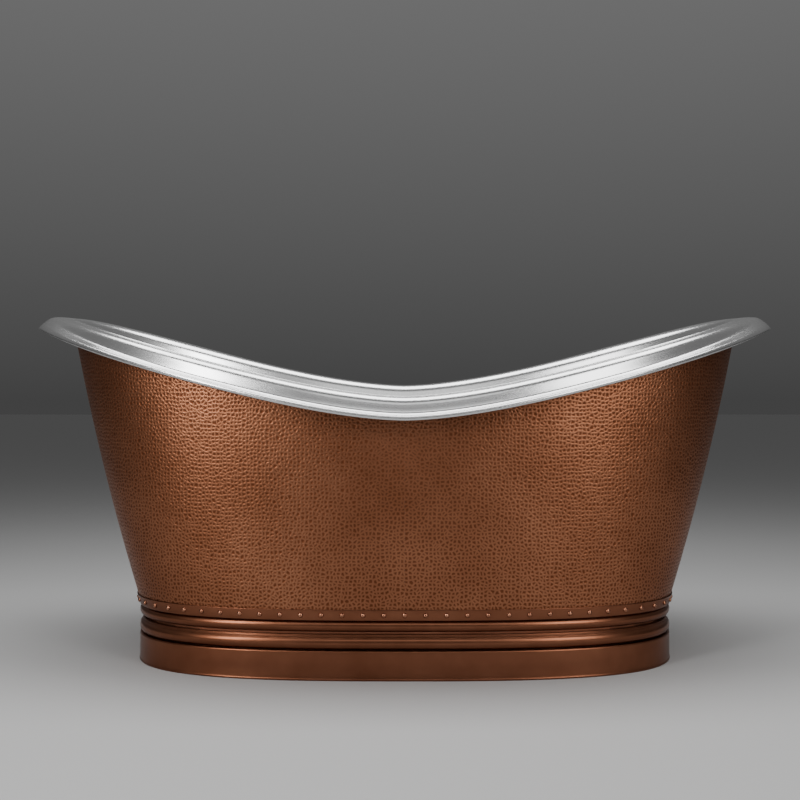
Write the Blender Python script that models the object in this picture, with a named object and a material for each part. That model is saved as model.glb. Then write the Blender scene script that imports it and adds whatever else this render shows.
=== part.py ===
"""A freestanding double-slipper bath: a hammered copper shell with a nickel basin and a rolled nickel rim,
riveted by a copper strap to a moulded copper plinth. A steel frame inside the plinth carries the basin, and
a waste with a turn-to-lift stopper drains it.

Metres, +Z up, +X along the bath, the origin on the floor under the waste.
"""

import math

import bmesh
import bpy
from mathutils import Matrix, Vector

# Overall size: the lip of the rim is what measures LENGTH and WIDTH.
LENGTH = 1.702
WIDTH = 0.813
END_HEIGHT = 0.775
SADDLE_HEIGHT = 0.613

# Sheet and gaps
SHEET = 0.0016
GAP = 0.0004

# Rim datum: the oval that runs along the top of the rolled rim.
RIM_OVAL_POWER = 1.955
SIDE_OVERHANG = 0.0585
END_OVERHANG = 0.039
SADDLE_START_POWER = 1.631
SADDLE_END_POWER = 1.598
RIM_SWELL = 0.03
SWELL_REACH = 1.30
TURN_START = 0.248
TURN_END = 1.009
SHELL_DROP_SIDE = 0.030
SHELL_DROP_END = 0.010
WIRE_RADIUS = 0.0022

# Outer wall
FOOT_HALF_LENGTH = 0.6085
FOOT_HALF_WIDTH = 0.303
FOOT_HEIGHT = 0.140
WALL_REF_HEIGHT = 0.540
WALL_FLARE_X = 0.1405
WALL_FLARE_Y = 0.030
WALL_BULGE = 0.028
FOOT_OVAL_POWER = 2.85
TOP_OVAL_POWER = 2.5

# Plinth, from the floor up
SKIRT_HALF_LENGTH = 0.607
SKIRT_HALF_WIDTH = 0.300
SKIRT_TOP = 0.0620
LOWER_RING_BOTTOM = 0.0630
LOWER_RING_TOP = 0.0955
UPPER_RING_BOTTOM = 0.1000
UPPER_RING_TOP = 0.1258
STRAP_BOTTOM = 0.1265
STRAP_TOP = 0.1485
STRAP_THICKNESS = 0.0016
STRAP_GAP = 0.0009
RIVET_COUNT = 72
RIVET_RADIUS = 0.0055
RIVET_HEIGHT = 0.0035
BAND_SETBACK = 0.0125

# Basin
BASIN_FLOOR = 0.122
DRAIN_DIP = 0.008
DRAIN_LAND_RADIUS = 0.042
FLOOR_HALF_LENGTH = 0.46
FLOOR_HALF_WIDTH = 0.19
END_KNEE = 0.40
SIDE_KNEE = 0.62
KNEE_POWER = 2.5
DRAIN_HOLE_RADIUS = 0.0255

# Frame under the basin
FOOT_RING_WIDTH = 0.040
FOOT_RING_THICKNESS = 0.006
BEARER_STATIONS = (-0.40, -0.15, 0.15, 0.40)
BEARER_SIZE = (0.040, 0.050)
RAIL_Y = 0.120
RAIL_HALF_LENGTH = 0.455
RAIL_SIZE = (0.030, 0.040)
TUBE_WALL = 0.0025
PAD_STATIONS = (-0.36, 0.0, 0.36)
PAD_SIZE = (0.080, 0.036)
BOLT_RADIUS = 0.005
BOLT_CLEARANCE = 0.0006
BOLT_HEAD_RADIUS = 0.0095
BOLT_HEAD_HEIGHT = 0.006

# Waste and stopper
FLANGE_RADIUS = 0.035
FLANGE_THICKNESS = 0.0030
THROAT_OUTER = 0.0240
THROAT_INNER = 0.0205
THROAT_BOTTOM = 0.078
GASKET_THICKNESS = 0.0016
TAIL_OUTER = 0.0190
TAIL_INNER = 0.0170
TAIL_BOTTOM = 0.010
SEAT_WIDTH = 0.0065
BOSS_RADIUS = 0.0075
BOSS_BOTTOM = 0.094
BOSS_TOP = 0.100
ARM_WIDTH = 0.004
PAN_WASHER_RADIUS = 0.0365
PAN_WASHER_THICKNESS = 0.0030
BRASS_WASHER_RADIUS = 0.0360
BRASS_WASHER_THICKNESS = 0.0020
NUT_CORNER_RADIUS = 0.0345
NUT_HEIGHT = 0.010
TAIL_OVERLAP = 0.010
TAIL_WASHER_HEIGHT = 0.0035
SLIP_NUT_RADIUS = 0.0285
SLIP_NUT_LIP = 0.003
SLIP_NUT_OVERLAP = 0.009
WING_RADIUS = 0.003
WING_REACH = 0.0295
POST_RADIUS = 0.0035
POST_BOTTOM = 0.092
POST_BORE_RADIUS = 0.0009
CAP_RADIUS = 0.0262
CAP_DEPTH = 0.0015
CAP_RISE = 0.0032
HUB_RADIUS = 0.0090
HUB_BOTTOM = 0.1050
SLEEVE_WALL = 0.0018
TURNING_GAP = 0.0005
KNOB_RADIUS = 0.0095

STATIONS = 48
MM = 0.001


def signed_power(value, power):
    return math.copysign(abs(value) ** power, value)


def oval_point(half_length, half_width, power, angle):
    """The point of a superellipse at a parameter angle."""
    return Vector((
        half_length * signed_power(math.cos(angle), 2 / power),
        half_width * signed_power(math.sin(angle), 2 / power),
    ))


def oval_normal(half_length, half_width, power, point):
    """The outward unit normal of the superellipse at one of its points."""
    slope_x = signed_power(point.x / half_length, power - 1) / half_length
    slope_y = signed_power(point.y / half_width, power - 1) / half_width
    return Vector((slope_x, slope_y)).normalized()


def even_angles(half_length, half_width, power, count):
    """Parameter angles that cut the oval into equal lengths, the first at the front, on -Y."""
    steps = 7200
    raw = [-math.pi / 2 + 2 * math.pi * i / steps for i in range(steps + 1)]
    points = [oval_point(half_length, half_width, power, a) for a in raw]
    lengths = [0.0]
    for a, b in zip(points, points[1:]):
        lengths.append(lengths[-1] + (b - a).length)
    angles = []
    k = 0
    for i in range(count):
        wanted = lengths[-1] * i / count
        while lengths[k + 1] < wanted:
            k += 1
        share = (wanted - lengths[k]) / (lengths[k + 1] - lengths[k])
        angles.append(raw[k] + share * (raw[k + 1] - raw[k]))
    return angles


ANGLES = even_angles(FOOT_HALF_LENGTH, FOOT_HALF_WIDTH, FOOT_OVAL_POWER, STATIONS)


# ---------------------------------------------------------------- rim shape

DATUM_HALF_LENGTH = LENGTH / 2 - END_OVERHANG
DATUM_HALF_WIDTH = WIDTH / 2 - SIDE_OVERHANG

# The rim's section in millimetres, outward and up from the datum, from the basin over two rolls to the
# curled lip. Along the sides it falls steeply; round the ends it opens out nearly flat.
SIDE_SECTION = (
    (-23.5, -18), (-21.5, -8), (-14, -1.8), (-5, 0), (5, -2.7), (12.3, -10), (15, -20), (16.5, -23),
    (24, -23.8), (32, -27.7), (37.3, -34.5), (39, -43), (40, -50), (41.5, -56.5), (45.5, -59.8), (51, -61),
    (57, -62), (58.5, -66.5), (56, -71), (50, -71.4),
)
END_SECTION = (
    (-82, -40), (-77, -27), (-69, -16), (-59, -8.5), (-50, -4.8), (-42, -3), (-36, -2), (-30, -1.2),
    (-24, -0.7), (-17, -0.2), (-9, 0.1), (0, 0), (6, -0.6), (12, -2.4), (18, -5.8), (25, -11.2),
    (32, -17.6), (39, -26.3), (37.5, -29.6), (31, -30.6),
)
SIDE_WIRE = (52.7, -66.2)
END_WIRE = (32.6, -25.4)


def saddle(x):
    """Height of the top of the rim: low at the middle of the bath, high and level at its ends."""
    reach = min(abs(x) / DATUM_HALF_LENGTH, 1)
    rise = 1 - (1 - reach**SADDLE_START_POWER) ** SADDLE_END_POWER
    return SADDLE_HEIGHT + (END_HEIGHT - SADDLE_HEIGHT) * rise


def rim_frame(angle):
    """The rim's datum point at an angle, its outward normal, and how far the section has turned."""
    point = oval_point(DATUM_HALF_LENGTH, DATUM_HALF_WIDTH, RIM_OVAL_POWER, angle)
    normal = oval_normal(DATUM_HALF_LENGTH, DATUM_HALF_WIDTH, RIM_OVAL_POWER, point)
    share = min(max((abs(normal.x) - TURN_START) / (TURN_END - TURN_START), 0), 1)
    return point, normal, share * share * (3 - 2 * share)


def section_at(angle, side, end):
    """A list of section points between the side's and the end's, in metres."""
    point, _, turn = rim_frame(angle)
    swell = 1 + RIM_SWELL * math.sin(math.pi * min(abs(point.x) / SWELL_REACH, 1))
    blended = []
    for (s0, h0), (s1, h1) in zip(side, end):
        out = s0 + (s1 - s0) * turn
        up = h0 * swell + (h1 - h0 * swell) * turn
        blended.append(Vector((out * MM, up * MM)))
    return blended


def rim_point(angle, out, up):
    """A point given outward and up from the rim's datum."""
    point, normal, _ = rim_frame(angle)
    return Vector((point.x + normal.x * out, point.y + normal.y * out, saddle(point.x) + up))


def thickened(section, thickness):
    """The far side of a sheet whose near side is the section, offset to the right of its direction."""
    far = []
    for i, point in enumerate(section):
        before = section[max(i - 1, 0)]
        after = section[min(i + 1, len(section) - 1)]
        first = (point - before).normalized() if i else (after - point).normalized()
        second = (after - point).normalized() if i < len(section) - 1 else first
        normal_1 = Vector((first.y, -first.x))
        normal_2 = Vector((second.y, -second.x))
        bisector = (normal_1 + normal_2).normalized()
        stretch = min(1 / max(bisector.dot(normal_1), 0.5), 1.6)
        far.append(point + bisector * thickness * stretch)
    return far


def basin_edge(angle):
    """Where the basin's inner face meets the rim."""
    edge = section_at(angle, SIDE_SECTION[:1], END_SECTION[:1])[0]
    return rim_point(angle, edge.x, edge.y)


# ---------------------------------------------------------------- making objects

def clear_scene():
    for obj in list(bpy.data.objects):
        bpy.data.objects.remove(obj)


def material(name, color, roughness, metallic):
    made = bpy.data.materials.new(name)
    made.use_nodes = True
    shader = made.node_tree.nodes["Principled BSDF"]
    shader.inputs["Base Color"].default_value = (*color, 1)
    shader.inputs["Roughness"].default_value = roughness
    shader.inputs["Metallic"].default_value = metallic
    return made


def finish_object(name, bm, mat):
    """Turns a bmesh into a named object with its material, smooth where the surface is round."""
    bmesh.ops.remove_doubles(bm, verts=bm.verts, dist=1e-6)
    bmesh.ops.recalc_face_normals(bm, faces=bm.faces)
    mesh = bpy.data.meshes.new(name)
    bm.to_mesh(mesh)
    bm.free()
    mesh.materials.append(mat)
    mesh.shade_smooth()
    mesh.set_sharp_from_angle(angle=math.radians(35))
    obj = bpy.data.objects.new(name, mesh)
    bpy.context.scene.collection.objects.link(obj)
    return obj


def ring_of(name, loops, mat):
    """A closed ring: each loop runs round the bath, and the loops go round the ring's section and back."""
    bm = bmesh.new()
    rows = [[bm.verts.new(point) for point in loop] for loop in loops]
    for row, following in zip(rows, rows[1:] + rows[:1]):
        for i in range(len(row)):
            j = (i + 1) % len(row)
            bm.faces.new((row[i], row[j], following[j], following[i]))
    return finish_object(name, bm, mat)


def plinth_loops(section, power=FOOT_OVAL_POWER):
    """Loops of a section given as (outward from the skirt's face, height)."""
    loops = []
    for out, height in section:
        half_length = SKIRT_HALF_LENGTH + out
        half_width = SKIRT_HALF_WIDTH + out
        plan = [oval_point(half_length, half_width, power, angle) for angle in ANGLES]
        loops.append([Vector((p.x, p.y, height)) for p in plan])
    return loops


def sheet_loops(section, thickness):
    """Loops of a bent sheet in the plinth: the section is its outer face, from the top down."""
    near = [Vector(p) for p in section]
    far = thickened(near, thickness)
    return plinth_loops([(p.x, p.y) for p in near + far[::-1]])


def turned(name, profile, mat, sides=24, centre=(0, 0)):
    """A closed profile of (radius, height) turned about a vertical axis."""
    bm = bmesh.new()
    verts = [bm.verts.new((radius, 0, height)) for radius, height in profile]
    edges = [bm.edges.new((a, b)) for a, b in zip(verts, verts[1:] + verts[:1])]
    bmesh.ops.spin(
        bm, geom=verts + edges, axis=(0, 0, 1), cent=(0, 0, 0), angle=2 * math.pi, steps=sides, use_merge=True
    )
    obj = finish_object(name, bm, mat)
    obj.location = (*centre, 0)
    return obj


def washer(name, inner, outer, bottom, top, mat, sides=24):
    return turned(name, [(inner, bottom), (outer, bottom), (outer, top), (inner, top)], mat, sides)


def prism(radius, bottom, top, sides, centre=(0.0, 0.0)):
    """A bmesh of a solid prism on a regular polygon."""
    bm = bmesh.new()
    bmesh.ops.create_cone(
        bm, cap_ends=True, segments=sides, radius1=radius, radius2=radius, depth=top - bottom
    )
    bmesh.ops.translate(bm, verts=bm.verts, vec=(*centre, (top + bottom) / 2))
    return bm


def cut(obj, bm, name):
    """Cuts a bmesh out of an object with a Boolean, and keeps the cutter as a hidden helper."""
    cutter = finish_object(name, bm, STEEL)
    cutter.hide_render = True
    cutter.display_type = "WIRE"
    boolean = obj.modifiers.new(name, "BOOLEAN")
    boolean.operation = "DIFFERENCE"
    boolean.object = cutter


def merged(*parts):
    """Several bmeshes in one."""
    whole = bmesh.new()
    for part in parts:
        mesh = bpy.data.meshes.new("part")
        part.to_mesh(mesh)
        part.free()
        whole.from_mesh(mesh)
        bpy.data.meshes.remove(mesh)
    return whole


def box_tube(name, centre, size, along, mat):
    """A box-section steel tube with open ends, its length along "x" or "y"."""
    length, width, height = size
    loops = []
    for end, inset in ((-1, 0), (1, 0), (1, TUBE_WALL), (-1, TUBE_WALL)):
        half_width = width / 2 - inset
        half_height = height / 2 - inset
        corners = ((-1, -1), (1, -1), (1, 1), (-1, 1))
        loop = []
        for across, up in corners:
            run = end * length / 2
            side = across * half_width
            x, y = (run, side) if along == "x" else (side, run)
            loop.append(Vector((x, y, up * half_height)) + Vector(centre))
        loops.append(loop)
    return ring_of(name, loops, mat)


# ---------------------------------------------------------------- bath body

def wall_sizes(height):
    """Half length, half width and oval power of the outer wall at a height."""
    share = (height - FOOT_HEIGHT) / WALL_REF_HEIGHT
    bulge = WALL_BULGE * share * (1 - share)
    return (
        FOOT_HALF_LENGTH + WALL_FLARE_X * share + bulge,
        FOOT_HALF_WIDTH + WALL_FLARE_Y * share + bulge / 3,
        FOOT_OVAL_POWER + (TOP_OVAL_POWER - FOOT_OVAL_POWER) * share,
    )


def wall_point(angle, height, inset):
    """A point on the outer wall at a height, moved inwards by the inset."""
    half_length, half_width, power = wall_sizes(height)
    plan = oval_point(half_length - inset, half_width - inset, power, angle)
    return Vector((plan.x, plan.y, height))


def wall_loop(height, inset):
    """A level loop round the outer wall."""
    return [wall_point(angle, height, inset) for angle in ANGLES]


def shell_top(angle):
    """Height of the shell's top edge under the rim's rolls; three passes settle it on the leaning wall."""
    _, _, turn = rim_frame(angle)
    top = SADDLE_HEIGHT
    for _ in range(3):
        drop = SHELL_DROP_SIDE + (SHELL_DROP_END - SHELL_DROP_SIDE) * turn
        top = saddle(wall_point(angle, top, 0).x) - drop
    return top


def make_outer_shell(mat):
    """The hammered copper wall, from behind the strap up into the hollow of the rim."""
    levels = (0, 0.22, 0.48, 0.74, 1)
    loops = []
    for inset, order in ((0, levels), (SHEET, levels[::-1])):
        for level in order:
            loop = []
            for angle in ANGLES:
                height = STRAP_BOTTOM + level * (shell_top(angle) - STRAP_BOTTOM)
                loop.append(wall_point(angle, height, inset))
            loops.append(loop)
    return ring_of("outer_shell", loops, mat)


def knee(level, share):
    """How far the basin's wall has come out at a level: a rounded knee, then a straight slope."""
    arc = (1 - (1 - level) ** KNEE_POWER) ** (1 / KNEE_POWER)
    return (1 - share) * level + share * arc


def floor_height(x, y):
    """Height of the basin's floor, which falls to a flat land round the drain."""
    radius = math.hypot(x, y)
    reach_x = abs(x / radius / FLOOR_HALF_LENGTH) ** FOOT_OVAL_POWER
    reach_y = abs(y / radius / FLOOR_HALF_WIDTH) ** FOOT_OVAL_POWER
    edge = (reach_x + reach_y) ** (-1 / FOOT_OVAL_POWER)
    share = (radius - DRAIN_LAND_RADIUS) / (edge - DRAIN_LAND_RADIUS)
    return BASIN_FLOOR - DRAIN_DIP * (1 - min(max(share, 0), 1))


def basin_loop(level, drop=0.0, inset=0.0):
    """A loop round the basin's inner face: level 0 is the floor's edge, 1 the rim."""
    loop = []
    for angle in ANGLES:
        top = basin_edge(angle)
        plan = oval_point(FLOOR_HALF_LENGTH, FLOOR_HALF_WIDTH, FOOT_OVAL_POWER, angle)
        _, _, turn = rim_frame(angle)
        out = knee(level, SIDE_KNEE + (END_KNEE - SIDE_KNEE) * turn)
        x = plan.x + (top.x - plan.x) * out
        y = plan.y + (top.y - plan.y) * out
        length = math.hypot(x, y)
        outward = Vector((x / length, y / length)) * inset
        height = BASIN_FLOOR + (top.z - BASIN_FLOOR) * level - drop
        loop.append(Vector((x + outward.x, y + outward.y, height)))
    return loop


def floor_loop(radius, drop=0.0):
    """A loop on the basin's floor: a circle round the drain, or the floor's edge when no radius is given."""
    loop = []
    for angle in ANGLES:
        plan = oval_point(FLOOR_HALF_LENGTH, FLOOR_HALF_WIDTH, FOOT_OVAL_POWER, angle)
        if radius:
            plan = plan.normalized() * radius
        loop.append(Vector((plan.x, plan.y, floor_height(plan.x, plan.y) - drop)))
    return loop


def make_basin(mat):
    """The nickel basin: floor, rounded knee and sloping walls in one sheet, with the drain hole in it."""
    levels = (0.012, 0.05, 0.12, 0.26, 0.50, 0.76)
    loops = [floor_loop(DRAIN_HOLE_RADIUS), floor_loop(DRAIN_LAND_RADIUS), floor_loop(None)]
    loops += [basin_loop(level) for level in levels]
    loops.append(basin_loop(1, drop=GAP))
    loops.append(basin_loop(1, drop=SHEET, inset=SHEET))
    for level in levels[::-1]:
        slope = 1 - level
        loops.append(basin_loop(level, drop=SHEET * slope**3, inset=SHEET * (1 - slope**8)))
    loops += [floor_loop(radius, SHEET) for radius in (None, DRAIN_LAND_RADIUS, DRAIN_HOLE_RADIUS)]
    return ring_of("basin", loops, mat)


def make_rim(mat):
    """The rolled nickel rim: up from the basin, over two rolls and out to a curled lip."""
    columns = []
    for angle in ANGLES:
        section = section_at(angle, SIDE_SECTION, END_SECTION)
        closed = section + thickened(section, SHEET)[::-1]
        columns.append([rim_point(angle, p.x, p.y) for p in closed])
    loops = [list(loop) for loop in zip(*columns)]
    return ring_of("rim", loops, mat)


def make_rim_wire(mat):
    """The steel rod that the lip is curled round."""
    curve = bpy.data.curves.new("rim_wire", "CURVE")
    curve.dimensions = "3D"
    curve.bevel_depth = WIRE_RADIUS
    curve.bevel_resolution = 1
    spline = curve.splines.new("POLY")
    spline.points.add(STATIONS - 1)
    for point, angle in zip(spline.points, ANGLES):
        place = section_at(angle, (SIDE_WIRE,), (END_WIRE,))[0]
        point.co = (*rim_point(angle, place.x, place.y), 1)
    spline.use_cyclic_u = True
    curve.materials.append(mat)
    obj = bpy.data.objects.new("rim_wire", curve)
    bpy.context.scene.collection.objects.link(obj)
    return obj


# ---------------------------------------------------------------- plinth

def rivet_domes():
    """One mesh of low domes, evenly spaced round the strap and sunk a little into it."""
    height = (STRAP_BOTTOM + STRAP_TOP) / 2
    face = wall_loop(height, -STRAP_GAP - STRAP_THICKNESS)
    corners = face + face[:1]
    runs = [(b - a).length for a, b in zip(corners, corners[1:])]
    total = sum(runs)
    whole = bmesh.new()
    k = 0
    start = 0.0
    for i in range(RIVET_COUNT):
        wanted = total * i / RIVET_COUNT
        while start + runs[k] <= wanted:
            start += runs[k]
            k += 1
        along = (corners[k + 1] - corners[k]).normalized()
        outward = Vector((along.y, -along.x, 0))
        base = corners[k] + along * (wanted - start)
        rings = []
        for radius, lift in ((RIVET_RADIUS * 1.15, -0.0008), (RIVET_RADIUS * 0.55, RIVET_HEIGHT)):
            turns = [2 * math.pi * j / 6 for j in range(6)]
            centre = base + outward * lift
            rings.append([
                whole.verts.new(centre + along * radius * math.cos(t) + Vector((0, 0, radius * math.sin(t))))
                for t in turns
            ])
        for low, high in zip(rings, rings[1:]):
            for j in range(6):
                n = (j + 1) % 6
                whole.faces.new((low[j], low[n], high[n], high[j]))
        whole.faces.new(rings[0][::-1])
        whole.faces.new(rings[-1])
    return whole


def make_strap(mat):
    """The smooth copper strap over the wall's foot, with the heads of its rivets."""
    near, far = STRAP_GAP, STRAP_GAP + STRAP_THICKNESS
    faces = [(STRAP_TOP, near), (STRAP_TOP, far), (STRAP_BOTTOM, far), (STRAP_BOTTOM, near)]
    strap = ring_of("strap", [wall_loop(height, -outward) for height, outward in faces], mat)
    rivets = finish_object("rivet_heads", rivet_domes(), mat)
    rivets.hide_render = True
    rivets.display_type = "WIRE"
    union = strap.modifiers.new("rivets", "BOOLEAN")
    union.operation = "UNION"
    union.object = rivets
    return strap


def arc(centre, radii, first, last, steps):
    """Points on an elliptical arc, its angles in degrees from outward towards up."""
    points = []
    for i in range(steps + 1):
        angle = math.radians(first + (last - first) * i / steps)
        points.append((centre[0] + radii[0] * math.cos(angle), centre[1] + radii[1] * math.sin(angle)))
    return points


def make_plinth(mat):
    """The moulded plinth: two rounded rings and a plain skirt, soldered round an upright band."""
    middle = (UPPER_RING_BOTTOM + UPPER_RING_TOP) / 2
    half = (UPPER_RING_TOP - UPPER_RING_BOTTOM) / 2
    ring_of("upper_ring", sheet_loops(arc((-0.0115, middle), (0.0115, half), 90, -90, 5), SHEET), mat)

    bead_top = LOWER_RING_TOP - 0.006
    middle = (LOWER_RING_BOTTOM + bead_top) / 2 + 0.001
    half = bead_top - middle
    section = [(-0.0105, LOWER_RING_TOP), (-0.0065, LOWER_RING_TOP), (-0.0060, bead_top)]
    section += arc((-0.0085, middle), (0.0085, half), 62, -62, 3)
    section.append((-0.0100, LOWER_RING_BOTTOM))
    ring_of("lower_ring", sheet_loops(section, SHEET), mat)

    section = [(-0.0100, SKIRT_TOP), (-0.0020, SKIRT_TOP), (0.0, SKIRT_TOP - 0.002)]
    section += [(0.0, 0.0055), (0.0014, 0.0040), (0.0014, 0.0)]
    ring_of("skirt", sheet_loops(section, SHEET), mat)

    bottom = FOOT_RING_THICKNESS + GAP
    shoulder = STRAP_BOTTOM - 0.0006
    outside = [wall_loop(height, SHEET + 2 * GAP) for height in (STRAP_TOP, STRAP_BOTTOM + 0.001)]
    outside += plinth_loops([(-BAND_SETBACK, shoulder), (-BAND_SETBACK, bottom)])
    inside = [wall_loop(height, 2 * SHEET + 2 * GAP) for height in (STRAP_TOP, STRAP_BOTTOM + 0.001 + SHEET)]
    inside += plinth_loops([(-BAND_SETBACK - SHEET, shoulder + SHEET), (-BAND_SETBACK - SHEET, bottom)])
    ring_of("plinth_band", outside + inside[::-1], mat)


# ---------------------------------------------------------------- frame under the basin

def inside_half_width(x, clearance):
    """Half the clear width inside the plinth band at a distance from the middle."""
    half_length = SKIRT_HALF_LENGTH - BAND_SETBACK - SHEET - clearance
    half_width = SKIRT_HALF_WIDTH - BAND_SETBACK - SHEET - clearance
    share = 1 - abs(x / half_length) ** FOOT_OVAL_POWER
    return half_width * share ** (1 / FOOT_OVAL_POWER)


def bolt_centres():
    """Where the bearers are bolted to the foot ring: one bolt at each end of each bearer."""
    centres = []
    for x in BEARER_STATIONS:
        y = inside_half_width(abs(x) + BEARER_SIZE[0] / 2, 0.004) - 0.016
        centres += [(x, -y), (x, y)]
    return centres


def make_frame(steel, rubber):
    """A foot ring, bearers bolted across it, rails along them, and rubber pads under the basin."""
    inner, outer = -0.003 - FOOT_RING_WIDTH, -0.003
    section = [(outer, FOOT_RING_THICKNESS), (outer, 0), (inner, 0), (inner, FOOT_RING_THICKNESS)]
    foot_ring = ring_of("foot_ring", plinth_loops(section), steel)
    bearer_bottom = FOOT_RING_THICKNESS + GAP
    bearer_top = bearer_bottom + BEARER_SIZE[1]
    hole = BOLT_RADIUS + BOLT_CLEARANCE
    drills = [prism(hole, -0.01, 0.02, 8, centre) for centre in bolt_centres()]
    cut(foot_ring, merged(*drills), "foot_ring_drills")
    for number, x in enumerate(BEARER_STATIONS, 1):
        half = inside_half_width(abs(x) + BEARER_SIZE[0] / 2, 0.004)
        middle = (x, 0, (bearer_bottom + bearer_top) / 2)
        bearer = box_tube(f"bearer_{number}", middle, (2 * half, *BEARER_SIZE), "y", steel)
        ends = [centre for centre in bolt_centres() if centre[0] == x]
        drills = [prism(hole, 0, 0.08, 8, centre) for centre in ends]
        cut(bearer, merged(*drills), f"bearer_{number}_drills")
    rail_bottom = bearer_top + GAP
    rail_top = rail_bottom + RAIL_SIZE[1]
    for name, side in (("rail_front", -1), ("rail_back", 1)):
        middle = (0, side * RAIL_Y, (rail_bottom + rail_top) / 2)
        box_tube(name, middle, (2 * RAIL_HALF_LENGTH, *RAIL_SIZE), "x", steel)
    number = 0
    for side in (-1, 1):
        for x in PAD_STATIONS:
            number += 1
            under = floor_height(abs(x) - PAD_SIZE[0] / 2 if x else 0, RAIL_Y - PAD_SIZE[1] / 2) - SHEET
            make_pad(f"pad_{number}", (x, side * RAIL_Y), rail_top + GAP, under - 2 * GAP, rubber)
    for number, centre in enumerate(bolt_centres(), 1):
        shank = prism(BOLT_RADIUS, 0.001, bearer_top + GAP + 0.001, 8, centre)
        head = prism(BOLT_HEAD_RADIUS, bearer_top + GAP, bearer_top + GAP + BOLT_HEAD_HEIGHT, 6, centre)
        bolt = finish_object(f"frame_bolt_{number}", head, steel)
        tail = finish_object(f"frame_bolt_{number}_shank", shank, steel)
        tail.hide_render = True
        tail.display_type = "WIRE"
        union = bolt.modifiers.new("shank", "BOOLEAN")
        union.operation = "UNION"
        union.object = tail


def make_pad(name, place, bottom, top, mat):
    bm = bmesh.new()
    bmesh.ops.create_cube(bm, size=1)
    bmesh.ops.scale(bm, verts=bm.verts, vec=(*PAD_SIZE, top - bottom))
    bmesh.ops.translate(bm, verts=bm.verts, vec=(*place, (top + bottom) / 2))
    return finish_object(name, bm, mat)


# ---------------------------------------------------------------- waste and stopper

def make_waste(nickel, brass, rubber):
    """The waste: a flanged throat through the basin, clamped by a nut, with a tail pipe to the drain."""
    pan_top = BASIN_FLOOR - DRAIN_DIP
    flange_bottom = pan_top + GASKET_THICKNESS + 2 * GAP
    flange_top = flange_bottom + FLANGE_THICKNESS
    seat = THROAT_INNER + SEAT_WIDTH
    profile = [
        (FLANGE_RADIUS, flange_bottom), (FLANGE_RADIUS, flange_bottom + 0.001),
        (FLANGE_RADIUS - 0.004, flange_top), (seat, flange_top), (THROAT_INNER, flange_top - 0.009),
        (THROAT_INNER, THROAT_BOTTOM), (THROAT_OUTER, THROAT_BOTTOM), (THROAT_OUTER, flange_bottom),
    ]
    flange = turned("waste_flange", profile, nickel)
    for number, turn in enumerate((0, 90), 1):
        arm = cross_bar(turn, BOSS_BOTTOM + 0.001, BOSS_TOP - 0.001, 2 * THROAT_INNER + 0.003)
        add_union(flange, f"waste_arm_{number}", arm)
    add_union(flange, "waste_boss", prism(BOSS_RADIUS, BOSS_BOTTOM, BOSS_TOP, 12))
    cut(flange, prism(POST_RADIUS + GAP, BOSS_BOTTOM - 0.01, BOSS_TOP + 0.01, 12), "post_hole")

    washer("flange_gasket", DRAIN_HOLE_RADIUS - 0.0008, FLANGE_RADIUS - 0.001, pan_top + GAP,
           pan_top + GAP + GASKET_THICKNESS, rubber)
    under = pan_top - SHEET - GAP
    rubber_bottom = under - PAN_WASHER_THICKNESS
    washer("pan_washer", THROAT_OUTER + GAP, PAN_WASHER_RADIUS, rubber_bottom, under, rubber)
    brass_top = rubber_bottom - GAP
    brass_bottom = brass_top - BRASS_WASHER_THICKNESS
    washer("brass_washer", THROAT_OUTER + GAP, BRASS_WASHER_RADIUS, brass_bottom, brass_top, brass)
    nut_top = brass_bottom - GAP
    nut = finish_object("waste_nut", prism(NUT_CORNER_RADIUS, nut_top - NUT_HEIGHT, nut_top, 6), brass)
    cut(nut, prism(THROAT_OUTER + GAP, 0.05, 0.15, 24), "waste_nut_bore")

    tail_top = THROAT_BOTTOM + TAIL_OVERLAP
    turned("tail_pipe", [
        (TAIL_INNER, TAIL_BOTTOM), (TAIL_OUTER, TAIL_BOTTOM), (TAIL_OUTER, tail_top), (TAIL_INNER, tail_top),
    ], nickel)
    washer("tail_washer", TAIL_OUTER + GAP, THROAT_OUTER - GAP, THROAT_BOTTOM - TAIL_WASHER_HEIGHT,
           THROAT_BOTTOM - GAP, rubber)
    slip_top = THROAT_BOTTOM + SLIP_NUT_OVERLAP
    lip = THROAT_BOTTOM - TAIL_WASHER_HEIGHT - GAP
    slip_bottom = lip - SLIP_NUT_LIP
    slip = turned("slip_nut", [
        (TAIL_OUTER + GAP, slip_bottom), (SLIP_NUT_RADIUS, slip_bottom), (SLIP_NUT_RADIUS, slip_top),
        (THROAT_OUTER + GAP, slip_top), (THROAT_OUTER + GAP, lip), (TAIL_OUTER + GAP, lip),
    ], nickel)
    for side in range(4):
        angle = math.radians(45 + 90 * side)
        centre = (WING_REACH * math.cos(angle), WING_REACH * math.sin(angle))
        wing = prism(WING_RADIUS, slip_bottom, slip_top - 0.002, 6, centre)
        add_union(slip, f"slip_nut_wing_{side + 1}", wing)
    return flange_top


def cross_bar(turn, bottom, top, length):
    """A bmesh of a flat bar across the throat, turned by degrees about the middle."""
    bm = bmesh.new()
    bmesh.ops.create_cube(bm, size=1)
    bmesh.ops.scale(bm, verts=bm.verts, vec=(length, ARM_WIDTH, top - bottom))
    bmesh.ops.translate(bm, verts=bm.verts, vec=(0, 0, (top + bottom) / 2))
    bmesh.ops.rotate(bm, verts=bm.verts, cent=(0, 0, 0), matrix=Matrix.Rotation(math.radians(turn), 3, "Z"))
    return bm


def add_union(obj, name, bm):
    """Joins a bmesh to an object with a Boolean, and keeps it as a hidden helper."""
    other = finish_object(name, bm, STEEL)
    other.hide_render = True
    other.display_type = "WIRE"
    union = obj.modifiers.new(name, "BOOLEAN")
    union.operation = "UNION"
    union.object = other


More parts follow.
